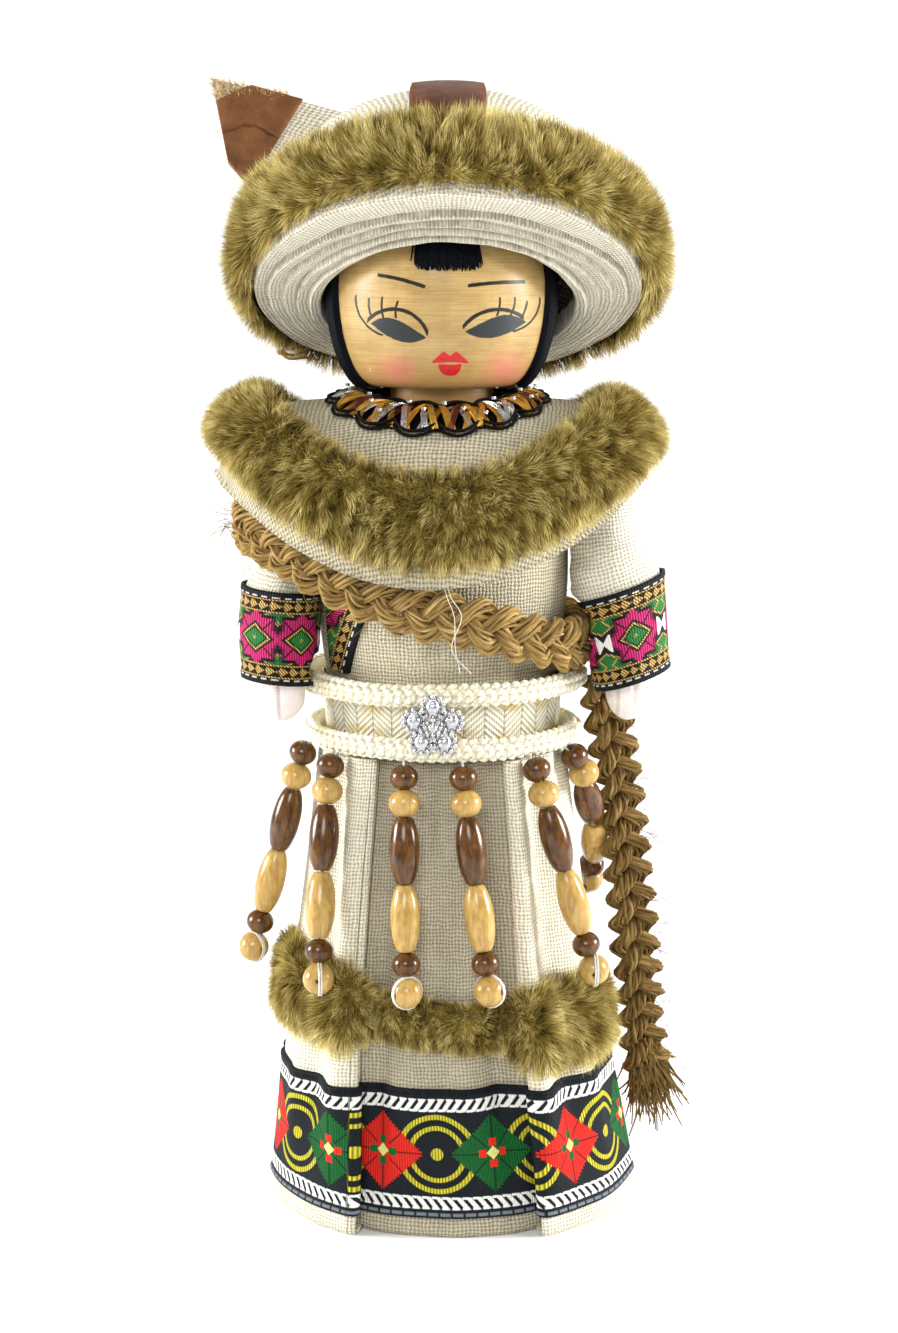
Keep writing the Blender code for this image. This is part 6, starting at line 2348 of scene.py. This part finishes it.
def string_path(top_angle, low_angle, length):
    steps = 40
    top_z = belt_cord_heights()[0] - BELT_CORD_RADIUS - GAP
    clearance = PALE_BEAD / 2.0 + GAP
    drop = length * 0.98
    needed = 0.0
    for step in range(1, steps + 1):
        share = step / steps
        z = top_z - drop * share
        stand_off = dressed_offset(blend(top_angle, low_angle, share), z)
        needed = max(needed, stand_off / share)
    start = belt_cord_point(top_angle, belt_cord_heights()[0], BELT_CORD_RADIUS * 0.3)
    start.z = top_z
    points = []
    for step in range(steps + 1):
        share = step / steps
        angle = blend(top_angle, low_angle, share)
        point = skirt_point(angle, top_z - drop * share, clearance + needed * share)
        points.append(start.lerp(point, smoothstep(share / 0.07)))
    return points


def along_path(points, distance):
    for near, far in zip(points, points[1:]):
        run = (far - near).length
        if distance <= run or far is points[-1]:
            direction = (far - near) / run
            return near + direction * distance, direction
        distance -= run


def bead(sewing, centre, axis, diameter, length, slot):
    """A turned bead with a drilled hole along its axis; long beads are barrels with cut ends."""
    side = axis.orthogonal().normalized()
    depth = axis.cross(side)
    hole = 0.00065
    half = length / 2.0
    long_bead = length > diameter * 1.5
    rows = [(hole, -half * 0.5), (hole, -half)]
    steps = 20
    for step in range(steps + 1):
        place = -cos(pi * step / steps)
        if long_bead:
            swell = 0.50 + 0.50 * max(0.0, 1.0 - abs(place) ** 2.1) ** 0.75
        else:
            swell = sqrt(max(0.0, 1.0 - (place * 0.93) ** 2))
        rows.append((diameter / 2.0 * swell, half * place))
    rows += [(hole, half), (hole, half * 0.5)]
    rings = []
    for radius, along in rows:
        rings.append([centre + axis * along + side * (radius * cos(turn)) + depth * (radius * sin(turn))
                      for turn in turn_list(28)])
    sewing.skin(rings, ring_columns=True, slot=slot)


def make_bead_string(number, top_degrees, low_degrees):
    path = string_path(radians(top_degrees), radians(low_degrees), STRING_LENGTH)
    string = Sewing()
    place = ROUND_BEAD * 0.1
    slots = {"dark": 0, "pale": 1, "end": 1}
    for diameter, length, kind in BEADS:
        centre, axis = along_path(path, place + length / 2.0)
        if kind == "end":
            outward = from_body(centre)
            axis = (outward * 0.75 + axis.cross(outward) * (0.9 if number % 2 else -0.8)).normalized()
            length = diameter * 0.94
        bead(string, centre, axis, diameter * 1.02, length * 0.985, slots[kind])
        if kind == "end":
            end_centre, end_axis = centre, axis
        place += length
    thread = [along_path(path, STRING_LENGTH * step / 30.0 - 0.0006)[0] for step in range(27)]
    thread[0].z += 0.0004
    string.tube(thread, 0.00028, 5, slot=2)
    down = Vector((0.0, 0.0, -1.0))
    flank = (down - end_axis * down.dot(end_axis)).normalized()
    around_bead = []
    for step in range(17):
        turn = 2.0 * pi * step / 16.0
        reach = PALE_BEAD * 0.53
        around_bead.append(end_centre + flank * (reach * cos(turn)) + end_axis * (reach * sin(turn) * 0.98))
    string.tube(around_bead[:-1], 0.00022, 5, closed=True, slot=2)
    doubled = [point + end_axis.cross(flank) * 0.00045 for point in around_bead[:-1]]
    string.tube(doubled, 0.00020, 5, closed=True, slot=2)
    piece = string.make("beads_%d" % number, DARK_BEAD, PALE_BEAD_WOOD, WHITE_THREAD)
    dress(piece, "bead_string_%d" % number)


DARK_BEAD = bead_wood("dark_bead", (26, 11, 2), (116, 72, 20), 0.35)
PALE_BEAD_WOOD = bead_wood("pale_bead", (156, 116, 54), (206, 172, 98), 0.18)
for string_number, (string_top, string_low) in enumerate(STRINGS, start=1):
    make_bead_string(string_number, string_top, string_low)
